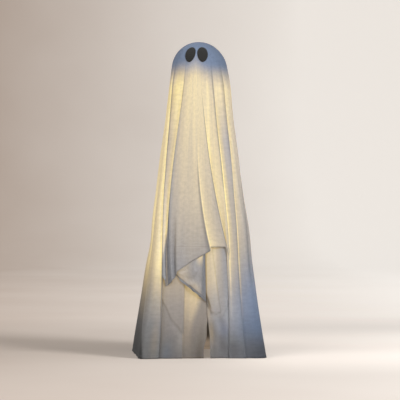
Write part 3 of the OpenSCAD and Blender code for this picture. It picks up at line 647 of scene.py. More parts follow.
lining = {
    "columnStep": 2.6, "leastColumns": 3,
    "fineTurn": (-44, 36), "fineStep": 0.5,   # closer columns where the lining shows in front
    "upperRows": 34, "lowerTop": 0.345, "lowerRows": 74,
    "wrinkle": 0.0011, "wrinkleTop": 0.5, "wrinkleFade": 0.2,
    "smoothing": 1,
    "slitTurn": 4, "slitHalf": 0.3,
    # how far the right and left edge draw aside, below which height, and how far off cloth follows
    "slitOpen": (2.2, -3.4), "slitGape": (0.145, 0.065), "slitFollow": (12.0, 352.0),
    "slitShares": (0.14, 0.86), "slitRate": 1.6,   # what opens evenly, and what gapes at this rate
    "slitLap": (1.6, 0.0022, 0.085, 0.115),   # higher up the left edge laps behind: turn, depth, heights
    "slitLight": (0.12, 6.0, 1.5, 0.130, 0.018), "slitLit": (4, 12),
    # patches of painted light and shade under the tail, at the left corner and on the left fold's foot, in
    # the same form as the cloth's
    "shadingPatches": [((-0.28, -0.24, -0.13), 20.5, 4.5, 0.080, 0.030),
                ((0.12, -0.02, -0.24), 8.5, 3.2, 0.075, 0.034),
                ((-0.11, 0.0, 0.14), -32, 4.5, 0.015, 0.035),
                ((0.16, 0.15, 0.15), -27, 3, 0.088, 0.018),
                ((0.10, 0.11, 0.08), -22, 3, 0.055, 0.030)],
    "litFoot": (0.25, -21.6, 3.2, 0.045, 0.034),   # painted light at the foot of the left fold: change, turn, spread, height, spread
    "lowGlow": [(0.02, 0.0), (0.30, 0.06)],
    "sideTurn": 44, "sideGlow": 0.7,   # beyond this turn it has this share of the drape's light
    # painted warm light left of this turn, the turns it fades over low and high, and the height and depth
    # between
    "warmLight": (0.97, 0.90, 0.82), "warmTurn": 4, "warmFade": (24, 10), "warmHeights": (0.05, 0.04),
    # the foot of the back of the lining, seen from inside through the slit
    "rearTurn": 110, "rearGlow": (0.235, 0.178, 0.128), "rearLeft": 0.15, "rearFade": 0.022,
}
liningTop = shoulderZ - cover["liningDrop"]
slitRight = lining["slitTurn"] + lining["slitHalf"]
slitLeft = lining["slitTurn"] - lining["slitHalf"]
# neck, middle and hem turn and share of the recess; hem, start and glow are the same for all
plainRest = (0, pleatTop, 0.4, 0.35, 0.3, 0.2, 1.0)
liningRight = [(slitRight, slitRight, slitRight, 0.1), (16, 15, 16.5, 0.8), (25, 22, 22, 0.1),
               (38, 31, 30, 0.7), (53, 43.5, 41, 0.2)]
liningLeft = [(-69, -44, -41, 0.2), (-52, -37, -36, 0.45), (-38, -27, -27, 0.3), (-24, -20.4, -19.6, 0.1),
              (-22.6, -19, -18.3, 0.9), (-10, -9, -8, 0.4), (slitLeft, slitLeft, slitLeft, 0.1)]
liningRight, liningLeft = ([line + plainRest for line in lines] for lines in (liningRight, liningLeft))
liningLines = (liningRight + [frontPleats[-1]] + rightSide + leftSide
               + [unwound(line) for line in [frontPleats[0]] + liningLeft])


def liningStep(line):
    first, last = lining["fineTurn"]
    return lining["fineStep"] if first <= wrapped(line[2]) <= last else lining["columnStep"]


liningColumns = spread(liningLines, liningStep, lining["leastColumns"], range(1, 3))

# cloths that lie over the lining in front: outline as turn and height, lift at foot and top,
# edge width, shade of the edge, glow by height
overlays = {
    "leftFold": {
        "outline": [(-44, 0.30), (-19.2, 0.30), (-19.2, 0.205), (-19.0, 0.068), (-23.6, 0.088),
                    (-29.8, 0.110), (-32.9, 0.133), (-36.4, 0.158), (-44, 0.20)],
        "lift": (0.0030, 0.0030), "edge": 0.0022, "line": 0.06,
        "glow": [(0.08, 0.02), (0.15, 0.05), (0.22, 0.16)],
    },
    "underFold": {
        "outline": [(10, 0.345), (31, 0.345), (28.4, 0.296), (27.6, 0.250), (26.8, 0.200), (24.8, 0.150),
                    (19, 0.115), (10, 0.12)],
        "lift": (0.0030, 0.0050), "edge": 0.0050, "line": 0.0,
        "glow": [(0.10, 0.02), (0.165, 0.10), (0.22, 0.21), (0.29, 0.36)],
    },
    "tail": {
        "outline": [(2.0, 0.345), (12.4, 0.345), (12.8, 0.300), (14.4, 0.255), (16.6, 0.190), (18.6, 0.135),
                    (18.0, 0.129), (13.5, 0.125), (8.6, 0.129), (6.9, 0.142), (5.4, 0.165), (2.0, 0.19)],
        "lift": (0.0052, 0.0062), "edge": 0.0018, "line": 0.26,
        "glow": [(0.13, 0.06), (0.17, 0.12), (0.22, 0.30), (0.29, 0.38)],
    },
}
overlaid = {"radius": 0.165, "turns": 46, "top": 0.36, "liftFrom": 0.20, "liftOver": 0.09,
            "line": (0.0012, 0.0022)}   # place and spread of the edge's shade
# right of the left fold: light that grows up to a slanting fold and dies away beyond it
litFront = {
    "turns": (-20, 4),
    "glow": [(0.02, 0.04), (0.10, 0.15), (0.17, 0.39), (0.24, 0.43)],   # by height
    "fold": (-15.5, -4.8), "foldFrom": 0.06, "foldOver": 0.13,   # its turn low and high, and heights
    "share": 0.74, "reach": 21,   # share of it beside the left fold, and how far the growth reaches
    "beyond": 0.03, "early": 2, "fade": 8,
    "shade": 0.90, "shadeOver": 6,
    # a band of painted shade: depth and turn, low and high, its spread, and the height where high begins
    "dark": (0.32, 0.08), "darkTurn": (-4.5, -0.5), "darkWide": 4.0, "darkTop": 0.1,
}
# the tail and what lies under it
tail = {
    "turns": (1, 34),
    "dim": 0.10, "dimFrom": 14, "dimOver": 11,   # brightest along its left edge
    # painted shade of a small twisted fold at its left foot, not in the shape: turn, height and slope,
    # then depth, offset and width, then heights and softness
    "twistShade": (2.3, 0.185, 108), "twistDark": (0.60, 1.2, 0.75), "twistEnds": (0.193, 0.138, 0.012),
    # painted light and shade as paler and darker spots: change, turn, spread, height, spread
    "lightAndShade": [[(0.32, 11.5, 3.4, 0.117, 0.008)],
              [(0.15, 24, 11, 0.100, 0.030), (-0.06, 21, 7, 0.038, 0.026)],
              [(0.20, 7.5, 3.0, 0.045, 0.034)]],
    "swell": (0.0035, 11, 3.0, 0.122, 0.010),
    # slanting creases under it: first and last turn with softness, top with softness,
    # depth and painted shade
    "creaseTurns": (5, 4, 27, 6), "creaseHeights": (0.135, 0.03), "creaseDepth": 0.0030,
    "creaseShade": 0.16, "creaseGrain": ((0.20, 16), (-0.07, 26), 2.2),
}


def outlineDepth(outline, turn, z, radius):  # distance in metres inside an outline, negative outside
    px, pz = math.radians(turn) * radius, z
    points = [(math.radians(t) * radius, h) for t, h in outline]
    nearest, inside = 1.0, False
    for (x0, z0), (x1, z1) in zip(points, points[1:] + points[:1]):
        dx, dz = x1 - x0, z1 - z0
        t = min(1.0, max(0.0, ((px - x0) * dx + (pz - z0) * dz) / (dx * dx + dz * dz)))
        nearest = min(nearest, math.hypot(px - x0 - t * dx, pz - z0 - t * dz))
        if (z0 > pz) != (z1 > pz) and px < x0 + (pz - z0) / dz * dx:
            inside = not inside
    return nearest if inside else -nearest


def liningLevel(row):
    if row <= lining["upperRows"]:
        return mix(liningTop, lining["lowerTop"], row / lining["upperRows"])
    row -= lining["upperRows"]
    foot = cover["hemClear"] + drape["hemRows"][0]
    if row <= lining["lowerRows"]:
        return mix(lining["lowerTop"], foot, row / lining["lowerRows"])
    return cover["hemClear"] + drape["hemRows"][row - lining["lowerRows"]]


def liningInset(z):
    layer = cover["layerGap"] + cover["pleatDepth"]
    return cover["wall"] + cover["seamGap"] + layer * growth(pleatTop, z)


def spotAt(spot, t, z):  # a soft spot: amount, turn and its spread, height and its spread
    amount, middle, wide, height, tall = spot
    return amount * bump(t, middle, wide) * bump(z, height, tall)


def slitMoved(turn, z):  # the slit's two edges draw apart, and the cloth beside them follows
    even, gaping = lining["slitShares"]
    rate = lining["slitRate"]
    drawn = [shift * (even * max(0.0, 1 - z / cover["slitTop"]) + gaping * ease(rate - rate * z / gape))
             for shift, gape in zip(lining["slitOpen"], lining["slitGape"])]
    over, behind, low, high = lining["slitLap"]
    lap = rise(z, low, high)
    first, last = lining["slitFollow"]
    tucked = 0.0
    if turn < first:
        turn += drawn[0] * ease((first - turn) / (first - slitRight))
    if turn > last:
        near = ease((turn - last) / (360 + slitLeft - last))
        turn += (drawn[1] + over * lap) * near
        tucked = behind * lap * near
    return turn, tucked


def frontLight(t, z, glow):
    limit = mix(*litFront["fold"], ease((z - litFront["foldFrom"]) / litFront["foldOver"]))
    grown = ease((t - litFront["turns"][0]) / (limit + litFront["reach"]))
    bright = through(litFront["glow"], z) * mix(litFront["share"], 1.0, grown)
    past = ease((t - limit + litFront["early"]) / litFront["fade"])
    low = min(1.0, z / litFront["darkTop"])
    band = mix(*litFront["dark"], low) * bump(t, mix(*litFront["darkTurn"], low), litFront["darkWide"])
    keep = mix(1.0, litFront["shade"], ease((t - limit) / litFront["shadeOver"])) * (1 - band)
    return mix(bright, glow + litFront["beyond"], past), keep


def tailForm(t, z):  # how the light, the painted shade and the radius change about the tail
    lit = mix(1.0, tail["dim"], ease((t - tail["dimFrom"]) / tail["dimOver"]))
    turn, height, slope = tail["twistShade"]
    depth, aside, wide = tail["twistDark"]
    high, low, soft = tail["twistEnds"]
    twistShade = turn + (height - z) * slope
    dark = depth * bump(abs(t - twistShade), aside, wide)
    keep = 1 - dark * ease((high - z) / soft) * ease((z - low) / soft)
    for spots in tail["lightAndShade"]:
        keep *= 1 + sum(spotAt(spot, t, z) for spot in spots)
    first, firstSoft, last, lastSoft = tail["creaseTurns"]
    top, soft = tail["creaseHeights"]
    crumpled = ease((t - first) / firstSoft) * ease((last - t) / lastSoft)
    crumpled *= ease((top - z) / soft) * ease(z / soft)
    crease = slanting(t, z, tail["creaseGrain"])
    out = spotAt(tail["swell"], t, z) + tail["creaseDepth"] * crease * crumpled
    return lit, keep * (1 + tail["creaseShade"] * crease * crumpled), out


def liningPlace(column, row):
    line = between(liningLines, liningColumns[column])
    z = liningLevel(row)
    turn, tucked = slitMoved(pleatTurn(line, z, 0.0), z)
    r = envelope(turn, z) - liningInset(z) - tucked - cover["liningRelief"] * line[3] * growth(line[5], z)
    t = wrapped(turn)
    # keep is the share of the lining's colour left by painted shade and light
    glow, keep = through(lining["lowGlow"], z), 1 + spotAt(lining["litFoot"], t, z)
    if litFront["turns"][0] < t < litFront["turns"][1]:
        glow, keep = frontLight(t, z, glow)
    if abs(t) > lining["sideTurn"]:
        glow = lineGlow(line, z) * lining["sideGlow"]
    raised = 0.0
    for cloth in overlays.values():
        depth = -1.0
        if abs(t) < overlaid["turns"] and z < overlaid["top"]:
            depth = outlineDepth(cloth["outline"], t, z, overlaid["radius"])
        over = ease(depth / cloth["edge"] + 0.5)
        lift = mix(*cloth["lift"], ease((z - overlaid["liftFrom"]) / overlaid["liftOver"]))
        raised = mix(raised, lift, over)
        glow = mix(glow, through(cloth["glow"], z), over)
        keep *= 1 - cloth["line"] * bump(depth, *overlaid["line"])
    r += raised
    if tail["turns"][0] < t < tail["turns"][1] and z < lining["lowerTop"]:
        lit, kept, out = tailForm(t, z)
        glow, keep, r = glow * lit, keep * kept, r + out
    if lining["slitLit"][0] < t < lining["slitLit"][1]:   # light beside the slit
        glow += spotAt(lining["slitLight"], t, z)
    warm = 0.0
    if abs(t) < lining["sideTurn"]:
        height, over = lining["warmHeights"]
        warm = 1 - ease((t - lining["warmTurn"]) / mix(*lining["warmFade"], ease((z - height) / over)))
    uneven = wrinkle(roundPoint(r, turn, z), lining["wrinkle"])
    r += uneven * ease((lining["wrinkleTop"] - z) / lining["wrinkleFade"])
    if z - cover["hemClear"] < cover["hemFold"]:
        r += cover["hemSwell"]
    light = tinted(glow * streaks(turn, z))
    if abs(t) > lining["rearTurn"]:
        share = mix(1.0, lining["rearLeft"], ease((z - lining["rearFade"]) / lining["rearFade"]))
        light = tuple(c * share for c in lining["rearGlow"])
    patch = patched(lining["shadingPatches"], t, z)
    tone = tuple(c * keep * p * mix(1.0, w, warm)
                 for c, w, p in zip(toneAndShadeAt(turn, z), lining["warmLight"], patch))
    return {"at": roundPoint(r, turn, z), "uv": (math.radians(turn) * cover["weaveRadius"], z),
            "glow": light, "tone": tone, "hem": z - cover["hemClear"]}


liningRows = lining["upperRows"] + lining["lowerRows"] + len(drape["hemRows"]) - 1
liningSkirt = clothMesh("liningSkirt", len(liningColumns) - 1, liningRows, liningPlace, lining["smoothing"])
thicken(liningSkirt, cover["wall"])
print("lining:", len(liningSkirt.data.polygons), "faces")

flap = {   # the caught-up front of the drape, folded back under its own hem
    "columns": 60, "rows": 44, "smoothing": 1,
    "left": -27.5, "right": 3.2,
    "top": [(-27.5, 0.262), (-13, 0.289), (0, 0.304), (4, 0.312)],
    "foot": [(-27.5, 0.240), (-20, 0.224), (-12.5, 0.208), (0.6, 0.178), (4, 0.170)],
    "fill": 0.16, "cornerIn": 0.0030,            # its left corner lies deeper, over this share of the width
    "inset": (0.0040, 0.0052), "belly": 0.0028,   # under the drape, at top and foot, and less halfway
    # the foot rolls under below this share of the rows
    "rollShare": 0.66, "rollTall": 0.0115, "rollDeep": 0.0026, "rollTurn": 0.95, "rollLeast": 0.25,
    # the right edge turns inwards from this turn at the top and this at the foot, over so many
    "turnIn": (-1.2, -3.2, 3.0), "turnDeep": 0.0062, "turnSoon": 2.5,
    # creases slant down to the left, with finer ones on them
    "crease": 0.0034, "creaseSoon": 2, "creaseGrain": ((2.6, -1.8), (5.0, 6.5), 1.3),
    "fineCrease": 0.5, "fineGrain": ((9, 0), (0, 11), 4.1),
    "leftGlow": (0.20, 0.25, -21, 12),           # light, share left further right, turn, and turns it takes
    "topGlow": (0.40, -9, 6), "topFade": (1.2, 3),
    "footGlow": (0.16, -8, 5, 0.94, 0.14),
    # painted shade: the face darker and paler with its creases, the roll as it curls under, and the
    # turned-in edge
    "faceShade": (0.92, 0.12), "rollShade": [(0.25, 0.58), (0.7, 0.86), (1.5, 0.80), (2.0, 0.46)],
    "turnShade": 0.46, "turnShare": 0.5, "rollDark": 2,
    "weaveRadius": 0.16, "weaveTall": 0.1,
}


def flapPlace(column, row):
    u, v = column / flap["columns"], row / flap["rows"]
    turn = mix(flap["left"], flap["right"], u)
    top, foot = through(flap["top"], turn), through(flap["foot"], turn)
    down = min(1.0, v / flap["rollShare"])
    curl = math.pi * flap["rollTurn"] * max(0.0, v - flap["rollShare"]) / (1 - flap["rollShare"])
    inwards = ease((turn - mix(*flap["turnIn"][:2], down)) / flap["turnIn"][2])
    full = ease(u / flap["fill"])
    z = mix(top, foot, down) - flap["rollTall"] * math.sin(curl) * mix(flap["rollLeast"], 1.0, full)
    inset = mix(*flap["inset"], down) - flap["belly"] * math.sin(math.pi * down) * full
    inset += flap["rollDeep"] * (1 - math.cos(curl)) + flap["cornerIn"] * (1 - full)
    inset += flap["turnDeep"] * inwards * ease(down * flap["turnSoon"])
    slant = slanting(u, v, flap["creaseGrain"]) + flap["fineCrease"] * slanting(u, v, flap["fineGrain"])
    inset -= flap["crease"] * slant * ease(down * flap["creaseSoon"]) * (1 - inwards)
    light, share, start, over = flap["leftGlow"]
    glow = light * mix(1.0, share, ease((turn - start) / over))
    light, start, over = flap["topGlow"]
    reach, rate = flap["topFade"]
    glow += light * ease((turn - start) / over) * ease(reach - down * rate)
    glow += spotAt(flap["footGlow"], turn, down)
    lit = (1 - inwards) * (1 - ease(curl * flap["rollDark"]))
    plain, varied = flap["faceShade"]
    rolled = through([(0.0, plain + varied * slant)] + flap["rollShade"], curl)
    keep = mix(rolled, flap["turnShade"], inwards * flap["turnShare"])
    tone = tuple(c * keep for c in toneAndShadeAt(turn, z))
    uv = (math.radians(turn) * flap["weaveRadius"], -v * flap["weaveTall"])
    return {"at": roundPoint(envelope(turn, z) - inset, turn, z), "uv": uv,
            "glow": tinted(glow * lit), "tone": tone, "hem": 1.0}


caughtFlap = clothMesh("caughtFlap", flap["columns"], flap["rows"], flapPlace, flap["smoothing"])
thicken(caughtFlap, cover["wall"])
print("flap:", len(caughtFlap.data.polygons), "faces")


# cloth finishes

weave = {
    "thread": 0.0011, "slub": 46.0, "cloud": 110.0,
    "warpStretch": (9.0, 1.0, 1.0), "weftStretch": (1.0, 8.0, 1.0),
    "warpShare": 0.65, "weftShare": 0.35, "slubTone": 0.6,
    # painted shade of a fold line left from packing: height, how far to the left, half length, unevenness,
    # half width, shade
    "creaseUp": 0.3185, "creaseAside": 0.020, "creaseHalf": 0.048,
    "creaseStray": 0.003, "creaseWide": 0.0009, "creaseShade": 0.14,
    # hem stitches: height, length of a stitch with its gap, share of thread in it, half width
    "stitchUp": 0.0092, "stitchLong": 0.0042, "stitchShare": 0.72, "stitchWide": 0.0009,
    "stitchColour": linear(96, 98, 104), "stitchTone": 0.35, "stitchDark": 0.5,
    "slubRise": 0.8, "threadRise": 0.12, "stitchSink": 0.9, "relief": (0.0006, 0.6),
    "surface": {"Roughness": 0.92, "Specular IOR Level": 0.12, "Sheen Weight": 0.15},
    # how strongly slubs show in each cloth
    "drapeSlub": 0.40, "liningSlub": 0.30, "tapeSlub": 0.10,
}


def clothFinish(name, slubShare, creaseDown=None):
    made = Finish(name)
    uv = made.node("ShaderNodeUVMap", {"uv_map": "cloth"})
    glow = made.node("ShaderNodeAttribute", {"attribute_name": "glow"})
    # the cloth's colour with its painted shade and light comes from this attribute
    tone = made.node("ShaderNodeAttribute", {"attribute_name": "tone"})
    hem = made.node("ShaderNodeAttribute", {"attribute_name": "hem"}, output="Fac")
    warp, weft = (made.grain(made.stretched(uv, weave[scale]), weave["slub"], 3.0, 0.6)
                  for scale in ("warpStretch", "weftStretch"))
    cloud = made.grain(uv, weave["cloud"], 4.0, 0.6)
    slub = warp * weave["warpShare"] + weft * weave["weftShare"]
    shade = 1.0 + (slub - 0.5) * slubShare * weave["slubTone"] + (cloud - 0.5) * slubShare
    along = made.node("ShaderNodeSeparateXYZ", inputs={"Vector": uv})
    if creaseDown:
        front = (along + weave["creaseAside"]).absolute().below(weave["creaseHalf"])
        stray = along.sibling("Y") + creaseDown + (cloud - 0.5) * weave["creaseStray"]
        shade = shade * (1.0 - stray.absolute().below(weave["creaseWide"]) * front * weave["creaseShade"])
    dash = (along / weave["stitchLong"]).fraction().below(weave["stitchShare"])
    stitch = dash * (hem - weave["stitchUp"]).absolute().below(weave["stitchWide"])
    grey = made.node("ShaderNodeCombineColor", inputs={"Red": shade, "Green": shade, "Blue": shade})
    base = made.blend(1.0, tone, grey, "MULTIPLY")
    base = made.blend(stitch * weave["stitchTone"], base, weave["stitchColour"])
    light = made.blend(1.0, glow, grey, "MULTIPLY")
    light = made.blend(stitch * weave["stitchDark"], light, (0.0, 0.0, 0.0))
    threads = made.node("ShaderNodeTexChecker", inputs={
        "Vector": uv, "Scale": 1 / weave["thread"]}, output="Fac")
    height = slub * weave["slubRise"] + threads * weave["threadRise"] - stitch * weave["stitchSink"]
    return made.close({"Base Color": base, **weave["surface"], "Emission Color": light,
                       "Emission Strength": 1.0, "Normal": made.bump(height, *weave["relief"])})


drapeCloth = clothFinish("drapeCloth", weave["drapeSlub"], domeArc + shoulderZ - weave["creaseUp"])
liningCloth = clothFinish("liningCloth", weave["liningSlub"])
for piece, finish in ((outerDrape, drapeCloth), (caughtFlap, drapeCloth), (liningSkirt, liningCloth)):
    piece.data.materials.append(finish)
    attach(piece, "cover")
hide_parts("outer_drape")
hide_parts("lining_skirt")

# eyes

eyes = {
    "width": 0.031, "height": 0.052, "wall": 0.0012, "gap": 0.0003, "lift": 30, "grid": 26,
    "edgeRoll": 0.0006, "rollPower": 8, "nap": 0.00012, "napScale": 400,
    "leftEye": {"turn": -25.5, "lean": 1.0, "node": "left_eye"},
    "rightEye": {"turn": 5.0, "lean": -4.5, "node": "right_eye"},
}


def feltEye(name, turn, lean):
    bm = bmesh.new()
    bmesh.ops.create_grid(bm, x_segments=eyes["grid"], y_segments=eyes["grid"], size=1.0)
    outside = cover["headRadius"] + eyes["gap"] + eyes["wall"]
    lift, sway, tilt = math.radians(eyes["lift"]), math.radians(turn), math.radians(lean)
    ahead = Vector((math.sin(sway) * math.cos(lift), -math.cos(sway) * math.cos(lift), math.sin(lift)))
    across = Vector((math.cos(sway), math.sin(sway), 0.0))
    upward = across.cross(-ahead).normalized()
    if upward.z < 0:
        upward = -upward
    for v in bm.verts:
        x, y = v.co.x, v.co.y
        a = x * math.sqrt(1 - y * y / 2) * eyes["width"] / 2     # the square grid drawn into an oval
        b = y * math.sqrt(1 - x * x / 2) * eyes["height"] / 2
        rim = max(abs(x), abs(y)) ** eyes["rollPower"]
        a, b = a * math.cos(tilt) - b * math.sin(tilt), a * math.sin(tilt) + b * math.cos(tilt)
        nap = eyes["nap"] * noise.noise(Vector((a * eyes["napScale"], b * eyes["napScale"], turn)))
        reach = outside - eyes["edgeRoll"] * rim + nap
        out = math.sqrt(max(0.0, reach * reach - a * a - b * b))
        v.co = Vector((0, 0, headZ)) + across * a + upward * b + ahead * out
    piece = asPiece(name, bm, lambda face: face.normal.dot(ahead))
    thicken(piece, eyes["wall"])
    return piece


felt = {
    "dark": linear(28, 28, 27), "light": linear(50, 49, 47),
    "fibre": (1500.0, 4.0, 0.7), "tuft": (420.0, 3.0, 0.6), "rise": 0.6, "relief": (0.0007, 0.8),
    "surface": {"Roughness": 0.96, "Specular IOR Level": 0.08, "Sheen Weight": 0.15, "Sheen Roughness": 0.6},
}


def feltFinish():
    made = Finish("blackFelt")
    where = made.place()
    fibre, tuft = made.grain(where, *felt["fibre"]), made.grain(where, *felt["tuft"])
    height = fibre * felt["rise"] + tuft * felt["rise"]
    return made.close({"Base Color": made.blend(height, felt["dark"], felt["light"]), **felt["surface"],
                       "Normal": made.bump(height, *felt["relief"])})


blackFelt = feltFinish()
for name in ("leftEye", "rightEye"):
    eye = feltEye(name, eyes[name]["turn"], eyes[name]["lean"])
    eye.data.materials.append(blackFelt)
    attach(eye, "cover")
    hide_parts(eyes[name]["node"])
print("eyes: two felt ovals")

# tape inside the neck

tape = {"columns": 96, "rows": 4, "wall": 0.0007, "wave": 0.00015, "waves": 24, "glow": 0.3}
tapeLow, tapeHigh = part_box("neck_tape")


def tapePlace(column, row):
    turn, z = 360 * column / tape["columns"], mix(tapeHigh.z, tapeLow.z, row / tape["rows"])
    r = tapeHigh.x - tape["wave"] * (1 + math.sin(math.radians(turn * tape["waves"])))
    return {"at": roundPoint(r, turn, z), "uv": (math.radians(turn) * r, z), "glow": tinted(tape["glow"]),
            "tone": clothToneAndShade["plain"], "hem": 1.0}


neckTape = clothMesh("neckTape", tape["columns"], tape["rows"], tapePlace, 0, weld=True)
thicken(neckTape, tape["wall"])
neckTape.data.materials.append(clothFinish("bindingTape", weave["tapeSlub"]))
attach(neckTape, "cover")
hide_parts("neck_tape")
print("tape: one ring")

# finishes of the head unit and the frame

# grain, fine, flow and skin are a noise's scale, detail and roughness;
# rough is the least and what the noise adds, for moulded plastics counted from their own roughness
moulded = {"fine": (2280.0, 2.0, 0.6), "flow": (380.0 / 6, 3.0, 0.5), "rough": (-0.08, 0.16),
           "relief": (0.00012, 0.5)}
skins = {
    "legPaint": {   # powder coat: orange-peel skin, unevenly dull
        "dark": linear(224, 223, 219), "light": linear(240, 239, 236),
        "grain": (26.0, 4.0, 0.65), "skin": (900.0, 2.0, 0.5), "rough": (0.34, 0.16),
        "relief": (0.0001, 0.5)},
    "brightSteel": {
        "dark": linear(150, 150, 152), "light": linear(205, 204, 200), "stretch": (1.0, 1.0, 14.0),
        "grain": (700.0, 3.0, 0.6), "rough": (0.22, 0.2), "relief": (0.00005, 0.4),
        "shine": {"Metallic": 1.0}},
    "footRubber": {
        "dark": linear(40, 40, 41), "light": linear(66, 65, 64),
        "grain": (60.0, 4.0, 0.6), "skin": (1600.0, 2.0, 0.6), "rough": (0.78, 0.14),
        "relief": (0.0001, 0.6), "shine": {"Specular IOR Level": 0.3}},
    "leadInsulation": {
        "dark": linear(120, 28, 24), "light": linear(150, 42, 34),
        "grain": (240.0, 3.0, 0.6), "rough": (0.42, 0.15), "relief": (0.00008, 0.4)},
}


def mouldedFinish(name, light, dark, rough):   # fine spark-eroded texture and faint flow marks
    made = Finish(name)
    where = made.place()
    fine, flow = made.grain(where, *moulded["fine"]), made.grain(where, *moulded["flow"])
    least, more = moulded["rough"]
    return made.close({"Base Color": made.blend(flow, dark, light), "Roughness": rough + least + fine * more,
                       "Normal": made.bump(fine, *moulded["relief"])})


def skinFinish(name):
    look, made = skins[name], Finish(name)
    where = made.place(look.get("stretch", (1.0, 1.0, 1.0)))
    grain = made.grain(where, *look["grain"])
    skin = made.grain(where, *look["skin"]) if "skin" in look else grain
    least, more = look["rough"]
    return made.close({"Base Color": made.blend(grain, look["dark"], look["light"]),
                       "Roughness": least + grain * more, "Normal": made.bump(skin, *look["relief"]),
                       **look.get("shine", {})})


def boardFinish():   # white solder mask with pale copper pads under it
    made = Finish("circuitBoard")
    where = made.place()
    pads = made.node("ShaderNodeTexVoronoi", {"distance": "CHEBYCHEV"}, {"Vector": where, "Scale": 240.0})
    trace = pads.above(0.42)
    base = made.blend(trace, linear(226, 228, 224), linear(204, 196, 160))
    return made.close({"Base Color": base, "Roughness": 0.32 + trace * 0.1, "Coat Weight": 0.3,
                       "Normal": made.bump(trace, 0.00005, 0.5)})


def glowFinish(name, base, light, strength, grainScale):
    made = Finish(name)
    where = made.place()
    cloud = made.grain(where, grainScale, 2.0, 0.5)
    lit = made.blend(cloud, tuple(0.82 * c for c in light), light)
    return made.close({"Base Color": base, "Roughness": 0.36 + cloud * 0.1, "Emission Color": lit,
                       "Emission Strength": strength, "Normal": made.bump(cloud, 0.00006, 0.3)})


def wrapFinish(low, high):   # plain shrink wrap: a dark barrel and a copper-coloured end
    made = Finish("cellWrap")
    where = made.node("ShaderNodeTexCoord", output="Object")
    along = made.node("ShaderNodeSeparateXYZ", inputs={"Vector": where})
    end = along.above(mix(low, high, 0.7))
    scuff = made.grain(where, 320.0, 4.0, 0.65)
    dull = made.blend(scuff, linear(34, 34, 36), linear(52, 52, 55))
    copper = made.blend(scuff, linear(150, 96, 48), linear(184, 126, 70))
    base = made.blend(end, dull, copper)
    return made.close({"Base Color": base, "Metallic": end * 0.7, "Roughness": 0.28 + scuff * 0.18,
                       "Coat Weight": 0.4, "Normal": made.bump(scuff, 0.00006, 0.4)})


def dress(names, finish):
    for name in names:
        skin = nodes[name].data.materials
        skin.clear()
        skin.append(finish)


corners = ("rear_right", "rear_left", "front_left", "front_right")
cellLow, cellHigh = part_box("battery_cells")
white, offWhite, milk = linear(238, 239, 240), linear(222, 224, 226), linear(214, 212, 206)
dress(["head_form"], mouldedFinish("headPlastic", linear(232, 235, 238), linear(220, 224, 228), 0.5))
dress(["crown_hub", "battery_tray", "battery_door"], mouldedFinish("hubPlastic", white, offWhite, 0.46))
dress(["lamp_reflector", "lamp_cap"],
      mouldedFinish("reflectorPlastic", linear(244, 244, 240), linear(234, 234, 230), 0.3))
dress(["lamp_lens"], glowFinish("opalLens", linear(240, 232, 214), (1.0, 0.78, 0.42), 1.2, 160.0))
dress(["led_chips"], glowFinish("ledChip", linear(236, 206, 90), (1.0, 0.82, 0.5), 3.0, 900.0))
dress(["led_board"], boardFinish())
dress(["battery_cells"], wrapFinish(cellLow.x, cellHigh.x))
dress(["head_screws", "contact_springs", "contact_plates", "door_pin"], skinFinish("brightSteel"))
dress(["switch_body", "switch_slider"],
      mouldedFinish("blackPlastic", linear(48, 48, 50), linear(36, 36, 38), 0.5))
dress(["lamp_leads"], skinFinish("leadInsulation"))
dress([f"{part}_leg_{corner}" for part in ("upper", "lower") for corner in corners]
      + [f"spreader_{side}" for side in ("right", "rear", "left", "front")], skinFinish("legPaint"))
dress([f"coupler_{corner}" for corner in corners],
      mouldedFinish("couplerPlastic", milk, linear(202, 200, 194), 0.5))
dress([f"foot_cap_{corner}" for corner in corners], skinFinish("footRubber"))
print("finishes: every frame node dressed")

# floor, light and camera

room = {
    "half": 9.0, "near": -9.0, "back": 7.0, "wall": 6.0, "sweep": 2.4, "sweepSteps": 16,
    "dim": linear(165, 144, 128), "bright": linear(246, 240, 233),
    "fade": 3.0, "middle": 0.42, "mottle": 0.16,   # painted light, from dim at the left to bright at the right
    # painted light: how strongly the floor glows in its own colour, by distance behind the object, least
    # just behind it, where it deepens the shadow
    "lift": [(-1.2, 1.55), (-0.35, 1.35), (0.2, 0.90), (0.9, 1.5), (1.8, 2.3), (3.6, 2.6), (7.0, 2.5)],
    # and more painted light right of the object, close by
    "aside": 1.35, "asideFrom": (-0.05, 0.26), "closeAt": 0.2, "closeFade": (0.2, 1.0),
    "selfLight": 0.27,
}


def floorFinish():
    made = Finish("paleFloor")
    where = made.place()
    mottle = made.grain(where, 1.1, 3.0, 0.5)
    spot = made.node("ShaderNodeSeparateXYZ", inputs={"Vector": where})
    across = spot / room["fade"] + room["middle"] + mottle * room["mottle"]
    base = made.blend(across, room["dim"], room["bright"])
    depth = spot.sibling("Y")
    start, end = room["lift"][0][0], room["lift"][-1][0]
    most = max(lift for place, lift in room["lift"])
    stops = [((place - start) / (end - start), (lift / most,) * 3) for place, lift in room["lift"]]
    far = made.node("ShaderNodeValToRGB", {"stops": stops}, {"Fac": (depth - start) / (end - start)}) * most

    def ramp(value, ends, low, high):
        return made.node("ShaderNodeMapRange", {"interpolation_type": "SMOOTHSTEP"}, {
            "Value": value, "From Min": ends[0], "From Max": ends[1], "To Min": low, "To Max": high})

    aside = ramp(spot, room["asideFrom"], 0.0, room["aside"])
    far = far + aside * ramp((depth - room["closeAt"]).absolute(), room["closeFade"], 1.0, 0.0)
    seen = (made.node("ShaderNodeLightPath", output="Is Camera Ray")
            + made.node("ShaderNodeLightPath", output="Is Glossy Ray"))
    paper = made.node("ShaderNodeBsdfDiffuse", inputs={"Color": base, "Roughness": 0.6})
    lit = made.node("ShaderNodeEmission", inputs={"Color": base, "Strength": far})
    made.node("ShaderNodeOutputMaterial", inputs={"Surface": made.node(
        "ShaderNodeMixShader", inputs={0: seen * room["selfLight"], 1: paper, 2: lit})})
    return made.material


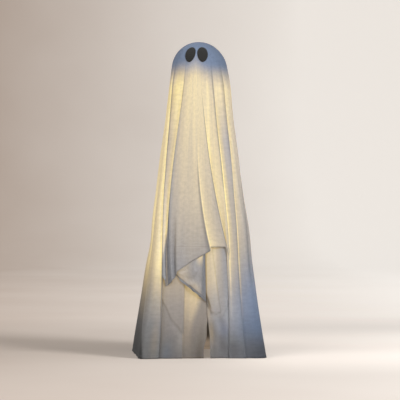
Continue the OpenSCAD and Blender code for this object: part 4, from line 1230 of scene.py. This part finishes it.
def sweepFloor():
    bm = bmesh.new()
    steps = room["sweepSteps"] + 2
    bmesh.ops.create_grid(bm, x_segments=2, y_segments=steps, size=1.0)
    for v in bm.verts:
        k = round((v.co.y + 1) / 2 * steps)
        if k == 0:
            y, z = room["near"], 0.0
        elif k == steps:
            y, z = room["back"] + room["sweep"], room["wall"]
        else:
            bend = math.pi / 2 * (k - 1) / room["sweepSteps"]
            y = room["back"] + room["sweep"] * math.sin(bend)
            z = room["sweep"] * (1 - math.cos(bend))
        v.co = Vector((v.co.x * room["half"], y, z))
    piece = asPiece("floorSweep", bm, lambda face: face.normal.z)
    piece.data.materials.append(floorFinish())


sweepFloor()

lights = {
    "rightKey": {"at": (2.5, -2.6, 2.55), "size": 1.5, "power": 122, "colour": (0.96, 0.98, 1.0)},
    "leftFill": {"at": (-3.0, -3.2, 0.85), "size": 4.6, "power": 158, "colour": (1.0, 0.99, 0.98)},
}
lightAim = Vector((0, 0, 0.45))
air = {"colour": (0.95, 0.97, 1.0, 1.0), "strength": 0.22}
for name, lamp in lights.items():
    data = bpy.data.lights.new(name, "AREA")
    data.shape, data.size, data.energy, data.color = "DISK", lamp["size"], lamp["power"], lamp["colour"]
    shown = bpy.data.objects.new(name, data)
    bpy.context.scene.collection.objects.link(shown)
    shown.location = lamp["at"]
    aim = lightAim - Vector(lamp["at"])
    shown.rotation_euler = aim.to_track_quat("-Z", "Y").to_euler()

world = bpy.data.worlds.new("room")
bpy.context.scene.world = world
world.use_nodes = True
sky = world.node_tree.nodes["Background"].inputs
sky["Color"].default_value, sky["Strength"].default_value = air["colour"], air["strength"]

view = {"turn": -4.5, "away": 5.7, "height": 0.451, "lens": 175, "sensor": 36, "shift": 0.0032,
        "farthest": 60}
eyeData = bpy.data.cameras.new("photoView")
eyeData.lens, eyeData.sensor_width, eyeData.shift_x = view["lens"], view["sensor"], view["shift"]
eyeData.clip_end = view["farthest"]
photoView = bpy.data.objects.new("photoView", eyeData)
bpy.context.scene.collection.objects.link(photoView)
swing = math.radians(view["turn"])
photoView.location = (math.sin(swing) * view["away"], -math.cos(swing) * view["away"], view["height"])
photoView.rotation_euler = (math.pi / 2, 0, swing)
bpy.context.scene.camera = photoView
bpy.context.scene.view_settings.view_transform = "Standard"
print("camera and light set")
